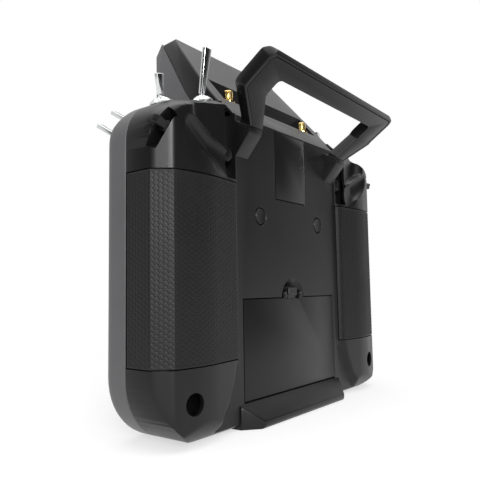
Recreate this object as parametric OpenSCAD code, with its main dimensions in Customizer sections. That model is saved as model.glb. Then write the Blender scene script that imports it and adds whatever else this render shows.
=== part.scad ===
// Radio transmitter controller: two-stick handset with a raised screen head,
// rubber hand grips, a carry handle, shoulder switches and a battery bay.
// Millimetres. X to the user's right, Y to the back, Z up.
// Origin: floor level, middle of the width, plane of the back panel.

/* [Body] */
// Width over the two grips
body_w = 249; // [225:1:300]
// Height of the shoulders beside the head
body_h = 194; // [180:1:233]
// Depth of the front shell
front_d = 18.6; // [16:0.1:24]
// Depth of the rear shell, up to the back panel
rear_d = 24.4; // [22:0.1:30]
// Wall of the moulded shells
wall = 2.2; // [1.8:0.1:3]
// Width of the flat back panel between the grips
panel_w = 122; // [110:1:146]
// Radius of the lower corners
bottom_r = 35; // [25:1:42]
// Radius of the shoulder corners
shoulder_r = 24; // [18:1:29]
// Fall of the shoulders towards the sides, in degrees
shoulder_fall = 14; // [8:1:18]
// Clear space between the parts of the casing
seam = 0.2; // [0.1:0.05:0.4]

/* [Screen head] */
// Height of the head over the shoulders
head_rise = 56.8; // [48:0.2:68]
// Half width of the head at its top
head_top_half = 55; // [50:0.5:60]
// Sideways growth of the head per millimetre down
head_flare = 0.26; // [0.1:0.01:0.3]
// Lean of the screen towards the user, in degrees
screen_lean = 15.1; // [8:0.1:18]
// Width of the screen glass
glass_w = 106; // [90:1:108]
// Height of the screen glass
glass_h = 66; // [50:1:70]
// Width of the frame round the glass
bezel = 3; // [2:0.5:3.5]

/* [Grips] */
// Height of the back of the grips over the back panel
grip_rise = 7; // [4:0.5:9]
// Thickness of the rubber pads
rubber = 1.8; // [1.2:0.1:2.4]
// Lower edge of the rubber pads
rubber_z = 41; // [38:1:50]
// Height of the rubber pads
rubber_h = 102; // [85:1:108]

/* [Battery bay] */
// Lower edge of the battery door
door_z = 14.4; // [13:0.2:18]
// Height of the battery door
door_h = 60; // [56:1:72]
// Thickness of the battery door
door_t = 2.4; // [2:0.1:3]
// Diameter of one battery cell
cell_d = 18.4; // [15.4:0.1:19]
// Length of one battery cell
cell_l = 65.2; // [54:0.1:79]

/* [Handle] */
// Width of one leg of the handle
leg_w = 12.7; // [10:0.1:15]
// Length of the legs, from the gussets to the bend
leg_l = 20.2; // [18:0.2:26]
// Slope of the legs, in degrees
leg_slope = 52.6; // [46:0.2:58]
// Length of the loop behind the bend
loop_l = 21.6; // [18:0.2:28]
// Slope of the loop, in degrees
loop_slope = 34.7; // [30:0.1:42]
// Distance from the legs' outer faces to the loop's, sideways
loop_step = 20; // [14:0.5:22]
// Thickness of the handle
loop_t = 8; // [7:0.2:9.4]
// Depth of the loop's bar, along its slope
bar_w = 10.7; // [9:0.1:12.5]

/* [Switches] */
// Radius of a switch bushing
bushing_r = 3.2; // [3:0.1:3.4]
// Radius of a dress nut
nut_r = 6.6; // [5.4:0.1:7]
// Height of a dress nut
nut_h = 3; // [2.4:0.1:3.6]
// Length of a long switch lever over its nut
long_lever = 28.5; // [23.5:0.5:35]
// Length of a short switch lever over its nut
short_lever = 13; // [10.5:0.5:16]
// Radius of the rounding along the front edges
front_round = 8; // [5:0.5:9]
// Running clearance of pins and shafts
run = 0.05; // [0.02:0.01:0.1]

/* [Sticks] */
// Distance from a stick's centre to the side of the body
stick_in = 40.5; // [36:0.5:46]
// Height of the stick centres
stick_z = 108; // [100:1:112]
// Radius of a gimbal's ball cover
ball_r = 13.5; // [11:0.1:14]
// Length of a stick from its pivot to its end
stick_l = 44; // [38:1:54]

/* [Antenna ports] */
// Half distance between the two antenna ports
port_half = 45.4; // [38:0.2:48]
// Radius of an antenna port's thread
port_r = 3.1; // [2.6:0.1:3.7]
// Length of an antenna port over its flange
port_l = 8.6; // [7:0.2:10]

/* [Hidden] */

$fn = 48;
eps = 0.01;
over = 60;
half_w = body_w / 2;
front_y = -(front_d + rear_d);
part_y = -rear_d;
panel_half = panel_w / 2;
leg_half = panel_half - 0.3;
fit = 0.3;

// Colours of the finishes
black = [0.07, 0.07, 0.075];
satin = [0.2, 0.2, 0.21];
rubber_black = [0.1, 0.1, 0.1];
chrome = [0.8, 0.8, 0.82];
gold = [0.83, 0.68, 0.33];
board_green = [0.05, 0.25, 0.14];

// ---- helpers ----
// Outline in X and Z, drawn from y0 back to y1
module across(y0, y1) {
  translate([0, y1, 0]) rotate([90, 0, 0]) linear_extrude(y1 - y0) children();
}

// Outline in Y and Z, drawn from x0 to x1
module along(x0, x1) {
  translate([x0, 0, 0]) rotate([90, 0, 90]) linear_extrude(x1 - x0) children();
}

module box(x0, x1, y0, y1, z0, z1) {
  translate([x0, y0, z0]) cube([x1 - x0, y1 - y0, z1 - z0]);
}

module both_sides() {
  children();
  mirror([1, 0, 0]) children();
}

module on_side(side) {
  mirror([side < 0 ? 1 : 0, 0, 0]) children();
}

function arc(cx, cy, r, a0, a1, n) =
  [for (i = [0:n]) let (a = a0 + (a1 - a0) * i / n) [cx + r * cos(a), cy + r * sin(a)]];

function reversed(p) = [for (i = [len(p) - 1:-1:0]) p[i]];

function mirrored(p) = [for (q = p) [-q[0], q[1]]];

function closed(p) = concat(p, reversed(mirrored(p)));

// ---- casing ----
neck_half = panel_half + 5;
shoulder_cx = half_w - shoulder_r;
shoulder_end = shoulder_cx + shoulder_r * sin(shoulder_fall);
shoulder_cz = body_h - (shoulder_end - neck_half) * tan(shoulder_fall)
  - shoulder_r * cos(shoulder_fall);

// Right half of the body's outline seen from behind, drawn in by t
function half_outline(t) = concat(
  [[0, t]],
  arc(half_w - bottom_r, bottom_r, bottom_r - t, -90, 0, 9),
  arc(shoulder_cx, shoulder_cz, shoulder_r - t, 0, 90 - shoulder_fall, 9),
  [[neck_half, body_h - t / cos(shoulder_fall)], [0, body_h - t / cos(shoulder_fall)]]);

module outline(t = 0) {
  polygon(closed(half_outline(t)));
}

// Top of the shoulder line over a distance x from the middle
function shoulder_top(x) = body_h - (x - neck_half) * tan(shoulder_fall);

// Cross-section of the front shell, drawn in by t: it cuts the edges of the
// face back in steps, where reach is the distance to the middle of the part
function front_edge(reach, t) = [
  [reach - t, part_y + 1], [reach - t, front_y + front_round],
  [reach - t - 0.3 * front_round, front_y + 0.3 * front_round + t / 2],
  [reach - front_round - t / 2, front_y + t]];

module front_body(t = 0) {
  intersection() {
    across(front_y + t, part_y - seam / 2 + (t > 0 ? 1 : 0)) outline(t);
    linear_extrude(body_h + 1) polygon(closed(front_edge(half_w, t)));
    along(-half_w, half_w) polygon(concat(
      [for (q = front_edge(0, t)) [q[1], -q[0]]], [[front_y + t, body_h], [part_y + 1, body_h]]));
  }
}

// Rounding of the rear shell's lower and upper edges, seen from the side
tail_r = 17;
tail_y = grip_rise - tail_r;
top_round = 9;

// Section of the rear shell in X and Y, drawn in by t
chamfer_x = 8.5;
chamfer_y = 6.4;
corner_y = grip_rise / 2;
crest_in = 29.5;
foot_in = 3.5;
function half_section(t) = [
  [0, part_y - (t > 0 ? 1 : 0)],
  [half_w - t, part_y - (t > 0 ? 1 : 0)],
  [half_w - t, -chamfer_y - t / 2],
  [half_w - chamfer_x - t / 2, corner_y - t],
  [half_w - crest_in, grip_rise - t],
  [panel_half + foot_in + t / 2, corner_y - t],
  [panel_half + t / 2, -t],
  [0, -t]];

module rear_body(t = 0) {
  difference() {
    intersection() {
      across(part_y - 2, grip_rise + 1) outline(t);
      linear_extrude(body_h + 1) polygon(closed(half_section(t)));
      along(-half_w, half_w) polygon(concat([[part_y - 2, t]],
        arc(tail_y, tail_r, tail_r - t, -90, 0, 6),
        [[grip_rise - t, body_h + 1], [part_y - 2, body_h + 1]]));
    }
    both_sides() translate([neck_half, 0, body_h]) rotate([0, shoulder_fall, 0])
      along(-over, over * 2) polygon([[grip_rise - 2 * top_round - t, 0.6],
        [grip_rise - top_round - t / 2, -0.2 * top_round - t], [grip_rise - t, -top_round - t / 2],
        [grip_rise + 9, -top_round - t / 2], [grip_rise + 9, 9], [grip_rise - 2 * top_round - t, 9]]);
  }
}

// The head, seen from the side: the screen leans forward and the back slopes
head_top = body_h + head_rise;
screen_foot = body_h - 54;
screen_top = head_top - 9.8;
screen_y = front_y - (screen_top - screen_foot) * tan(screen_lean);
back_top_z = head_top - 6.5;
band_z = body_h - 8.5;
ledge_y = -11.5;
ledge_z = body_h + 4.5;
back_slope = 1.205;
back_top_y = ledge_y - (back_top_z - ledge_z) / back_slope;
seam_slope = 1.395;
seam_foot_z = body_h - 3.3;
brow_y = part_y - (head_top - 1.6 - seam_foot_z) / seam_slope;

straight_z = head_top - (neck_half + 0.6 - head_top_half) / head_flare;
function head_half(z) = head_top_half + (head_top - max(z, straight_z)) * head_flare;

module head_front_outline(t = 0) {
  low = body_h - 3;
  polygon(closed([[0, screen_foot - 5], [panel_half - 1 - t, screen_foot - 5],
    [panel_half - 1 - t, low - 14], [head_half(low) - t, low],
    [head_half(low) - t, straight_z], [head_half(head_top) - t, head_top + 1], [0, head_top + 1]]));
}

module head_rear_outline(t = 0) {
  polygon(closed([[0, band_z - 20], [head_half(0) - t, band_z - 20],
    [head_half(0) - t, straight_z], [head_half(head_top) - t, head_top + 1], [0, head_top + 1]]));
}

module head_front(t = 0) {
  intersection() {
    across(screen_y - 1, part_y + 2) head_front_outline(t);
    along(-over * 2, over * 2) polygon([
      [front_y + t, screen_foot], [screen_y + t, screen_top - t / 2],
      [brow_y - 0.8 + t, head_top - 0.5 - t],
      [brow_y - seam / 2 + (t > 0 ? 2 * t : 0), head_top - 1.6 - t],
      [part_y - seam / 2 + (t > 0 ? t : 0), seam_foot_z],
      [part_y - seam / 2 + (t > 0 ? t : 0), screen_foot]]);
  }
}

module head_rear(t = 0) {
  drop = t * 1.6;
  intersection() {
    across(brow_y - 2, 1) head_rear_outline(t);
    along(-over * 2, over * 2) polygon([
      [0 - t, band_z - drop / 2], [ledge_y, ledge_z - drop],
      [back_top_y, back_top_z - drop], [back_top_y - 4.5, head_top - drop],
      [brow_y + (t > 0 ? 3 * t : 0), head_top - 1.6 - (t > 0 ? drop : 0)],
      [part_y - (t > 0 ? 2 * t : 0), seam_foot_z - (t > 0 ? t : 0)],
      [part_y - (t > 0 ? 2 * t : 0), band_z - 18], [0 - t, band_z - 18]]);
  }
}

// Behind the head's slope, the body's own top gives way to the band: the room
// over the band, moved into the wall by t
module over_band(t) {
  turn = atan2(ledge_z - band_z, -ledge_y);
  translate([0, -t * sin(turn), -t * cos(turn)]) along(-neck_half - t, neck_half + t)
    polygon([[over, band_z - over * tan(turn)], [0, band_z], [ledge_y, ledge_z],
      [ledge_y, ledge_z + over / 2], [over, ledge_z + over / 2]]);
}

// Pocket in the slope behind the head, where the antenna ports stand
pocket_half = panel_half - 5;
pocket_top = body_h + 21;
pocket_y = ledge_y - 14.5;
module antenna_pocket() {
  along(-pocket_half, pocket_half) polygon([
    [ledge_y + 20, ledge_z + 0.6], [pocket_y, ledge_z + 0.6],
    [pocket_y - 1, pocket_top - 7], [ledge_y - (pocket_top - ledge_z) / back_slope, pocket_top],
    [ledge_y + 20, pocket_top + 24]]);
}

// Finger trench beside the handle's leg, and its button
trench_in = panel_half + 1.2;
trench_w = 12;
trench_z0 = rubber_z + rubber_h + 1.5;
trench_y = -6;
button_x = trench_in + trench_w / 2;
button_z = body_h - 34;
button_r = 5;
module trench(t = 0) {
  box(trench_in - t, trench_in + trench_w + t, trench_y - t, grip_rise + 3,
    trench_z0 - t, body_h + 5);
}

// Scoop for the forefinger across the back of the shoulder
scoop_r = 12;
module scoop(t = 0) {
  translate([half_w - 41, grip_rise + scoop_r - 4.5, body_h - 35])
    rotate([0, 65, 0]) cylinder(r = scoop_r + t, h = over * 2, center = true);
}

// Slot of the side slider, round the shoulder's corner, leaning to the back
slot_w = 5.4;
slot_y = -3.6;
slider_lean = 23;
slider_turn = [-17, 43];
slot_depth = 5;
module slider_sector(r0, r1, w, a0, a1) {
  translate([shoulder_cx, slot_y, shoulder_cz]) rotate([90 - slider_lean, 0, 0]) intersection() {
    difference() {
      cylinder(r = r1, h = w, center = true);
      cylinder(r = r0, h = w + 2, center = true);
    }
    linear_extrude(w + 1, center = true) polygon(concat([[0, 0]], arc(0, 0, 1.5 * r1, a0, a1, 4)));
  }
}

module slider_slot() {
  slider_sector(shoulder_r - slot_depth - 6, shoulder_r + 4, slot_w, slider_turn[0], slider_turn[1]);
}

// Battery bay, door opening and latch arch
door_half = panel_half - 6;
bay_half = door_half - 3;
bay_floor = part_y + 1.4;
bay_z0 = door_z + 3;
bay_z1 = door_z + door_h - 3;
door_gap = 0.35;
arch_r = 14;
arch_z = door_z + door_h;
arch_y = -5.2;
latch_half = 6.8;
latch_travel = 3;
latch_up = 6.4;
strike_z = 2.2;
strike_h = 2;
hook_z = 0.6;
hook_h = 2.4;
hook_half = latch_half + 2.7;
module door_shape(grow) {
  across(-door_t - (grow > 0 ? 0.2 : 0), grow > 0 ? 1 : 0)
    polygon([[-door_half - grow, door_z - grow], [door_half + grow, door_z - grow],
      [door_half + grow, door_z + door_h + grow], [-door_half - grow, door_z + door_h + grow]]);
}

module latch_arch() {
  difference() {
    intersection() {
      translate([0, 0, arch_z - 1]) rotate([90, 0, 0])
        cylinder(r = arch_r, h = 12, center = true);
      box(-arch_r, arch_r, arch_y, 2, arch_z - 0.5, arch_z + arch_r);
    }
    // Strikes that the latch's hook holds behind
    both_sides() box(latch_half + 0.4, arch_r, -door_t / 2 - 0.1, -0.1,
      arch_z + strike_z, arch_z + strike_z + strike_h);
  }
  box(-hook_half - 0.5, hook_half + 0.5, arch_y + 1, 1, arch_z - latch_travel - 1, arch_z);
}

// Narrow cover at the top of the back panel, and its bay
cover_half = 18.1;
cover_z = body_h - 55;
cover_t = 2;
module cover_shape(grow) {
  y1 = grow > 0 ? 1 : 0;
  box(-cover_half - grow, cover_half + grow, -cover_t - grow, y1,
    cover_z - grow, band_z - 1 + grow);
}

// Round caps over two case screws
cap_x = 35.7;
cap_z = screen_foot - 14;
cap_r = 5.5;
cap_t = 1.6;

// Deep wells for the lower case screws
well_x = half_w - 20.5;
well_z = 22.7;
well_r = 5;
well_depth = 14;
screw_r = 1.5;

// Foot ridge under the battery door
foot_reach = 10.5;
foot_half = panel_half - 1;
module foot_ridge() {
  intersection() {
    along(-foot_half, foot_half) polygon([[part_y, 0], [foot_reach - 1.5, 0],
      [foot_reach, 1.8], [foot_reach, 4.6], [0, door_z - 0.6], [part_y, door_z - 0.6]]);
    linear_extrude(door_z + 1) polygon(closed([[0, part_y - 1], [foot_half, part_y - 1],
      [foot_half, 1], [foot_half - 12, foot_reach + 1], [0, foot_reach + 1]]));
  }
}

// Below the pad, the inner edge of the grip turns outward and the back is flat
module lower_turn(t = 0) {
  across(-t, grip_rise + 2) polygon([[foot_half + 0.1, rubber_z - 1],
    [panel_half + 2 + t, rubber_z - 1], [panel_half + 4 + t, 30], [panel_half + 9 + t, 17],
    [panel_half + 18 + t, 7], [panel_half + 31 + t, -1], [foot_half + 0.1, -1]]);
}

// Gussets that carry the handle's legs; the joint leans forward from square
gusset_z = body_h - 17.5;
gusset_back = 11;
gusset_l = 17;
joint_lean = 12;
module gussets() {
  rise = tan(90 - leg_slope - joint_lean);
  both_sides() along(leg_half - leg_w, leg_half) polygon([
    [-4, gusset_z + (gusset_back + 4) * rise], [gusset_back, gusset_z],
    [gusset_back - 0.6, gusset_z - 4], [-0.5, gusset_z - gusset_l], [-4, gusset_z - gusset_l]]);
}

// Grip pads wrap the back and side of each grip
module pad_zone() {
  box(panel_half + 0.6, half_w + 5, part_y + 0.6, grip_rise + 5, rubber_z, rubber_z + rubber_h);
}

module grip_pad(side) {
  color(rubber_black) on_side(side) intersection() {
    difference() {
      linear_extrude(body_h) polygon(closed(half_section(0)));
      rear_body(rubber);
    }
    pad_zone();
    across(part_y - 2, grip_rise + 1) outline(0);
  }
}

// Switches: place, turn about X, turn about Y, lever length, lean of the lever
// about X and about Y, and lever width at its end. The back switch on the left is
// a short one, nearer to the front
front_turn = 59;
back_x = half_w - 48.5;
sw_back = [back_x, -13, 0, 0, shoulder_fall, long_lever, -10, -shoulder_fall, 5.9];
sw_back_left = [back_x, -19, 0, 0, shoulder_fall, short_lever, 10, -shoulder_fall, 5.2];
sw_side = [half_w - 21.3, -19, 0, 0, shoulder_fall, short_lever, -9, 1, 5.2];
bevel_foot = shoulder_cz - 0.66;
sw_inner = [half_w - 26.5, 0, bevel_foot + 12.5, front_turn, 0, 31.5, 0, 0, 5.4];
sw_outer = [half_w - 14, 0, bevel_foot + 5, front_turn, 0, 23.5, 0, 0, 5.2];
function switches(side) = [side > 0 ? sw_back : sw_back_left, sw_side, sw_inner, sw_outer];

// Height, or depth, of the casing's surface under a switch
function switch_z(s) = s[3] > 0 ? s[2] : shoulder_top(s[0]);
function switch_y(s) = s[3] > 0 ? front_y + (s[2] - bevel_foot) / tan(front_turn) : s[1];

module at_switch(s) {
  translate([s[0], switch_y(s), switch_z(s)]) rotate([s[3], s[4], 0]) children();
}

// Bevel at the front of each shoulder, where two switches stand
bevel_in = neck_half + 2;
module shoulder_bevel(t = 0) {
  both_sides() along(bevel_in - (t > 0 ? t : 0), half_w + 2) polygon([
    [front_y - 1 + t * 1.2, bevel_foot - tan(front_turn)],
    [front_y + 30 + t * 1.2, bevel_foot + 30 * tan(front_turn)],
    [front_y - 5, bevel_foot + 30 * tan(front_turn)], [front_y - 5, bevel_foot - tan(front_turn)]]);
}

module switch_holes() {
  for (side = [1, -1]) on_side(side) for (s = switches(side))
    at_switch(s) cylinder(r = bushing_r + 0.1, h = 16, center = true);
}

// Sticks
stick_x = half_w - stick_in;
pivot_y = front_y + ball_r;
plate_r = 25;
plate_t = 2;
hole_r = ball_r + 1.2;
housing = 40;
housing_d = 13;
ring_in = ball_r + 0.7;
ring_out = ring_in + 2.8;
ring_w = 6;
pin_r = 1.5;

module at_stick() {
  translate([stick_x, pivot_y, stick_z]) children();
}

// Controls on the front face
trim_l = 16;
trim_w = 5;
trim_across_z = stick_z - plate_r - 13;
trim_up_x = stick_x - plate_r - 9;
trim_up_z = stick_z - 4;
dial_x = 47;
dial_z = screen_foot - 9;
dial_r = 6.5;
wheel_x = 26;
wheel_z = 100;
wheel_r = 8;
wheel_w = 7;
wheel_y = front_y + 4.2;
key_x = 26;
key_r = 5;
menu_z = 108;
return_z = 92;
power_z = 62;
power_r = 7;
speaker_z = 33;
speaker_r = 14;
loop_z = 122;
loop_half = 8;
wire = 1.5;

// Sockets in the bottom face
socket_y = part_y - 6.6;
jack_x = -16;
usb_x = 14;

module at_screen(u) {
  translate([0, front_y, screen_foot]) rotate([screen_lean, 0, 0]) translate([0, 0, u]) children();
}

screen_mid = 56;

module front_openings() {
  both_sides() {
    at_stick() rotate([90, 0, 0]) cylinder(r = hole_r, h = over);
    at_stick() rotate([90, 0, 0]) translate([0, 0, ball_r - 0.8])
      cylinder(r = plate_r + fit, h = over);
    box(stick_x - trim_l / 2, stick_x + trim_l / 2, front_y - 1, front_y + wall + 1,
      trim_across_z - trim_w / 2, trim_across_z + trim_w / 2);
    box(trim_up_x - trim_w / 2, trim_up_x + trim_w / 2, front_y - 1, front_y + wall + 1,
      trim_up_z - trim_l / 2, trim_up_z + trim_l / 2);
    translate([dial_x, front_y, dial_z]) rotate([90, 0, 0])
      cylinder(r = 3.3, h = 2 * wall + 4, center = true);
  }
  box(wheel_x - wheel_w / 2 - 0.6, wheel_x + wheel_w / 2 + 0.6, front_y - 1, front_y + wall + 1,
    wheel_z - wheel_r - 0.8, wheel_z + wheel_r + 0.8);
  for (k = [[-key_x, menu_z, key_r], [-key_x, return_z, key_r], [0, power_z, power_r]])
    translate([k[0], front_y, k[1]]) rotate([90, 0, 0])
      cylinder(r = k[2] + fit, h = 2 * wall + 4, center = true);
  for (i = [-2:2])
    box(-11, 11, front_y - 1, front_y + wall + 1, speaker_z + i * 4 - 0.8, speaker_z + i * 4 + 0.8);
  at_screen(screen_mid) box(-glass_w / 2 - bezel, glass_w / 2 + bezel, -3, 2.2,
    -glass_h / 2 - bezel, glass_h / 2 + bezel);
  at_screen(screen_mid) box(-glass_w / 2 + 3, glass_w / 2 - 3, -3, 9,
    -glass_h / 2 + 3, glass_h / 2 - 3);
  translate([jack_x, socket_y, 0]) cylinder(r = 4, h = 3 * wall, center = true);
  box(usb_x - 5, usb_x + 5, socket_y - 1.9, socket_y + 1.9, -1, wall + 1);
}

// ---- casing pieces ----
module front_shell() {
  color(satin) difference() {
    union() {
      difference() {
        front_body();
        shoulder_bevel();
        // Room for the rear shell's share of the head
        along(-head_half(0) - seam, head_half(0) + seam) polygon([
          [part_y - seam / 2, seam_foot_z], [brow_y - seam / 2, head_top - 1.6],
          [part_y + 5, head_top], [part_y + 5, seam_foot_z]]);
      }
      head_front();
    }
    difference() {
      front_body(wall);
      shoulder_bevel(wall);
    }
    head_front(wall);
    front_openings();
    switch_holes();
    for (x = [-1, 1]) translate([x * well_x, 0, well_z]) rotate([90, 0, 0])
      cylinder(r = screw_r - 0.2, h = over);
  }
  color(satin) both_sides() {
    screw_post(well_x, well_z, front_y + wall - eps, part_y - seam / 2);
    screw_post(cap_x, cap_z, front_y + wall - eps, part_y - seam / 2);
  }
}

module screw_post(x, z, y0, y1) {
  translate([x, y1, z]) rotate([90, 0, 0]) difference() {
    cylinder(r = 3.4, h = y1 - y0);
    translate([0, 0, -1]) cylinder(r = screw_r + run, h = y1 - y0 - 2);
  }
}

module rear_shell() {
  color(black) difference() {
    union() {
      rear_body();
      head_rear();
      foot_ridge();
      gussets();
    }
    // Hollow inside, kept off the trench, the bays and the screw wells
    difference() {
      union() {
        difference() {
          rear_body(wall);
          over_band(wall);
        }
        head_rear(wall);
      }
      difference() {
        box(-half_w, half_w, part_y - 1, grip_rise, rubber_z - wall, rubber_z + rubber_h + wall);
        rear_body(wall + rubber);
      }
      both_sides() {
        trench(wall);
        lower_turn(wall);
        translate([well_x, part_y + 20, well_z]) rotate([90, 0, 0])
          cylinder(r = well_r + 1.8, h = 40, center = true);
        translate([cap_x, part_y + 20, cap_z]) rotate([90, 0, 0])
          cylinder(r = cap_r + 1.5, h = 40, center = true);
        intersection() {
          scoop(wall);
          box(trench_in, half_w, -6, 20, body_h - 60, body_h);
        }
      }
      box(-bay_half - wall, bay_half + wall, part_y - 1, 1, bay_z0 - 1, bay_z1 + wall);
      box(-arch_r - wall, arch_r + wall, -7, 1, arch_z - 3, arch_z + arch_r + 2);
      box(-cover_half - 1, cover_half + 1, -cover_t - 2, 1, cover_z - 2, band_z);
      intersection() {
        along(-pocket_half - wall, pocket_half + wall) polygon([
          [ledge_y + 2, ledge_z - 1.7], [pocket_y - wall, ledge_z - 1.7],
          [pocket_y - wall - 1, pocket_top - 5],
          [ledge_y - (pocket_top + 3 - ledge_z) / back_slope, pocket_top + 3]]);
        head_rear(0.5);
      }
      both_sides() intersection() {
        slider_sector(shoulder_r - slot_depth - 8, shoulder_r + 4, slot_w + 2.4,
          slider_turn[0] - 4, slider_turn[1] + 4);
        rear_body(0.2);
      }
    }
    difference() {
      over_band(0);
      gussets();
    }
    antenna_pocket();
    both_sides() {
      trench();
      intersection() {
        scoop();
        box(trench_in, half_w + 2, -2, 30, rubber_z + rubber_h + 1, body_h + 1);
      }
      slider_slot();
      translate([well_x, 20, well_z]) rotate([90, 0, 0]) cylinder(r = well_r, h = 20 + well_depth);
      translate([well_x, 0, well_z]) rotate([90, 0, 0]) cylinder(r = screw_r + run, h = over);
      translate([cap_x, 5, cap_z]) rotate([90, 0, 0]) cylinder(r = cap_r + 0.2, h = 5 + cap_t + 0.1);
      translate([cap_x, 0, cap_z]) rotate([90, 0, 0]) cylinder(r = 3, h = 16);
      translate([cap_x, 0, cap_z]) rotate([90, 0, 0]) cylinder(r = screw_r + run, h = over);
      // Seat of the rubber pad
      difference() {
        intersection() {
          box(panel_half + 0.4, half_w + 5, part_y + 0.4, grip_rise + 5,
            rubber_z - 0.2, rubber_z + rubber_h + 0.2);
          across(part_y - 2, grip_rise + 6) outline(-2);
        }
        rear_body(rubber + 0.1);
      }
      translate([button_x, trench_y + 1, button_z]) rotate([90, 0, 0])
        cylinder(r = button_r - 1.2, h = wall + 3);
      at_leg_screw() {
        translate([0, 0, -leg_screw_in]) cylinder(r = screw_r + run, h = leg_screw_in + 3);
        translate([0, 0, -leg_screw_in - over / 3]) cylinder(r = screw_head_r + 0.3, h = over / 3);
      }
      lower_turn();
    }
    door_shape(door_gap);
    box(-bay_half, bay_half, bay_floor, 1, bay_z0, bay_z1);
    latch_arch();
    cover_shape(0.25);
    for (x = [-1, 1]) translate([x * port_half, port_y, ledge_z - 4])
      cylinder(r = shank_r + 0.1, h = 8);
    switch_holes();
  }
}

module case_screws() {
  color(chrome) both_sides() {
    case_screw(well_x, well_z, -well_depth);
    case_screw(cap_x, cap_z, -13.6);
  }
}

// A pan-head screw whose head sits on y = seat
module case_screw(x, z, seat) {
  translate([x, seat, z]) rotate([90, 0, 0]) {
    cylinder(r = screw_r, h = -front_y + seat - wall - 4);
    translate([0, 0, -2]) difference() {
      cylinder(r = 2.8, h = 2);
      translate([0, 0, -1]) cylinder(r = 1.1, h = 2);
    }
  }
}

module screw_caps() {
  color(black) both_sides() translate([cap_x, 0, cap_z]) rotate([90, 0, 0])
    cylinder(r = cap_r, h = cap_t);
}

// The door turns on its half-round lower edge
hinge_y = -door_t / 2;
hinge_z = door_z + door_t / 2;
tongue_l = 5.5;
module battery_door() {
  color(black) difference() {
    union() {
      box(-door_half, door_half, -door_t, 0, hinge_z, door_z + door_h);
      translate([0, hinge_y, hinge_z]) rotate([0, 90, 0])
        cylinder(r = door_t / 2, h = 2 * door_half, center = true);
    }
    // Groove of the latch's tongue and notch of its hook
    box(-latch_half - 0.2, latch_half + 0.2, -door_t / 2 - 0.3, 1,
      arch_z - tongue_l - latch_travel - 0.6, arch_z + 1);
    box(-hook_half - 0.3, hook_half + 0.3, -door_t - 1, -door_t / 2 - 0.1,
      arch_z - latch_travel - 0.2, arch_z + 1);
  }
}

module door_latch() {
  back = -door_t / 2 - 0.25;
  color(black) {
    box(-latch_half, latch_half, back, 0.2, arch_z - tongue_l, arch_z + latch_up);
    box(-hook_half, hook_half, back - 1.6, back + eps, arch_z + hook_z, arch_z + hook_z + hook_h);
  }
}

module battery_cells() {
  color("steelblue") for (i = [0, 1])
    translate([-cell_l / 2, part_y + 1.4 + cell_d / 2 + 0.05, bay_z0 + 0.3 + cell_d / 2 + i * (cell_d + 3)])
      rotate([0, 90, 0]) cylinder(r = cell_d / 2, h = cell_l);
}

module port_cover() {
  color(black) difference() {
    cover_shape(0);
    for (i = [0:2]) translate([-cover_half + 5, 0, cover_z + 26 + i * 6]) rotate([90, 0, 0])
      cylinder(r = 0.5, h = 1.2, center = true);
  }
}

// ---- handle ----
// The handle is a bent strip of two slopes, cut to a loop. Its underside, a
// closing plate, starts at the back edge of the joint with the gussets.
function on_slope(p, a, s, t) = p + [s * cos(a) - t * sin(a), s * sin(a) + t * cos(a)];
joint_gap = 0.05;
foot = on_slope([gusset_back, gusset_z], leg_slope, joint_gap, 0);
bend = on_slope(foot, leg_slope, leg_l, 0);
bar_half = leg_half + loop_step;
bar_in = leg_half - leg_w + 0.6 * loop_step;
bar_lip = 2.9;
bar_corner = 7;
inner_corner = 3;
under_t = 2;
under_rim = 2.4;
straight = 1.5;
leg_screw_in = 5;
leg_screw_up = 7;
leg_screw_x = leg_half - leg_w / 2 + 1;
screw_head_r = 2.8;

function foot_at(t, e = 0) = on_slope(foot, leg_slope, -e - t * tan(joint_lean), t);
function bend_at(t) = on_slope(foot, leg_slope, leg_l + t * tan((leg_slope - loop_slope) / 2), t);
function loop_at(s, t) = on_slope(bend, loop_slope, s, t);

// Strip from depth t0 to t1, with the points of its back end, longer by e at its foot
module handle_strip(t0, t1, tail, e = 0) {
  along(-over * 2, over * 2) polygon(concat([foot_at(t0, e), bend_at(t0)],
    [for (q = tail) loop_at(q[0], q[1])], [bend_at(t1), foot_at(t1, e)]));
}

module on_side_view(p, slope) {
  translate([0, p[0], p[1]]) rotate([slope, 0, 0]) translate([0, 0, -over / 3])
    linear_extrude(over) children();
}

// The loop seen along its thickness: legs that step outward, then the bar. The
// outer edge is drawn in by t and the inner edge by u
module handle_outline(t, u) {
  side_in = bar_in + u;
  on_side_view(foot, leg_slope) both_halves() polygon([[leg_half - leg_w + u, -over / 6],
    [leg_half - leg_w + u, 0], [side_in, leg_l - straight], [side_in, leg_l + straight],
    [bar_half - t, leg_l + straight], [bar_half - t, leg_l - straight],
    [leg_half - t, 0], [leg_half - t, -over / 6]]);
  on_side_view(bend, loop_slope) difference() {
    polygon(closed(concat([[0, -straight], [bar_half - t, -straight]],
      arc(bar_half - bar_corner, loop_l + bar_lip - bar_corner, bar_corner - t, 0, 90, 6),
      [[0, loop_l + bar_lip - t]])));
    polygon(closed(concat([[0, -over / 6], [side_in, -over / 6]],
      arc(side_in - inner_corner, loop_l - bar_w - inner_corner + u, inner_corner, 0, 90, 3),
      [[0, loop_l - bar_w + u]])));
  }
}

module both_halves() {
  children();
  mirror([1, 0]) children();
}

module handle_body() {
  intersection() {
    handle_strip(0, loop_t, [[loop_l + 1.2, 0], [loop_l + bar_lip, 2.5],
      [loop_l + 1.4, loop_t * 0.78], [loop_l - 2, loop_t]]);
    handle_outline(0, 0);
  }
}

// Screw that goes up into a leg from inside the casing
module at_leg_screw() {
  middle = on_slope(foot, leg_slope, -loop_t / 2 * tan(joint_lean), loop_t / 2);
  translate([leg_screw_x, middle[0], middle[1]]) rotate([leg_slope - 90, 0, 0]) children();
}

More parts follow.
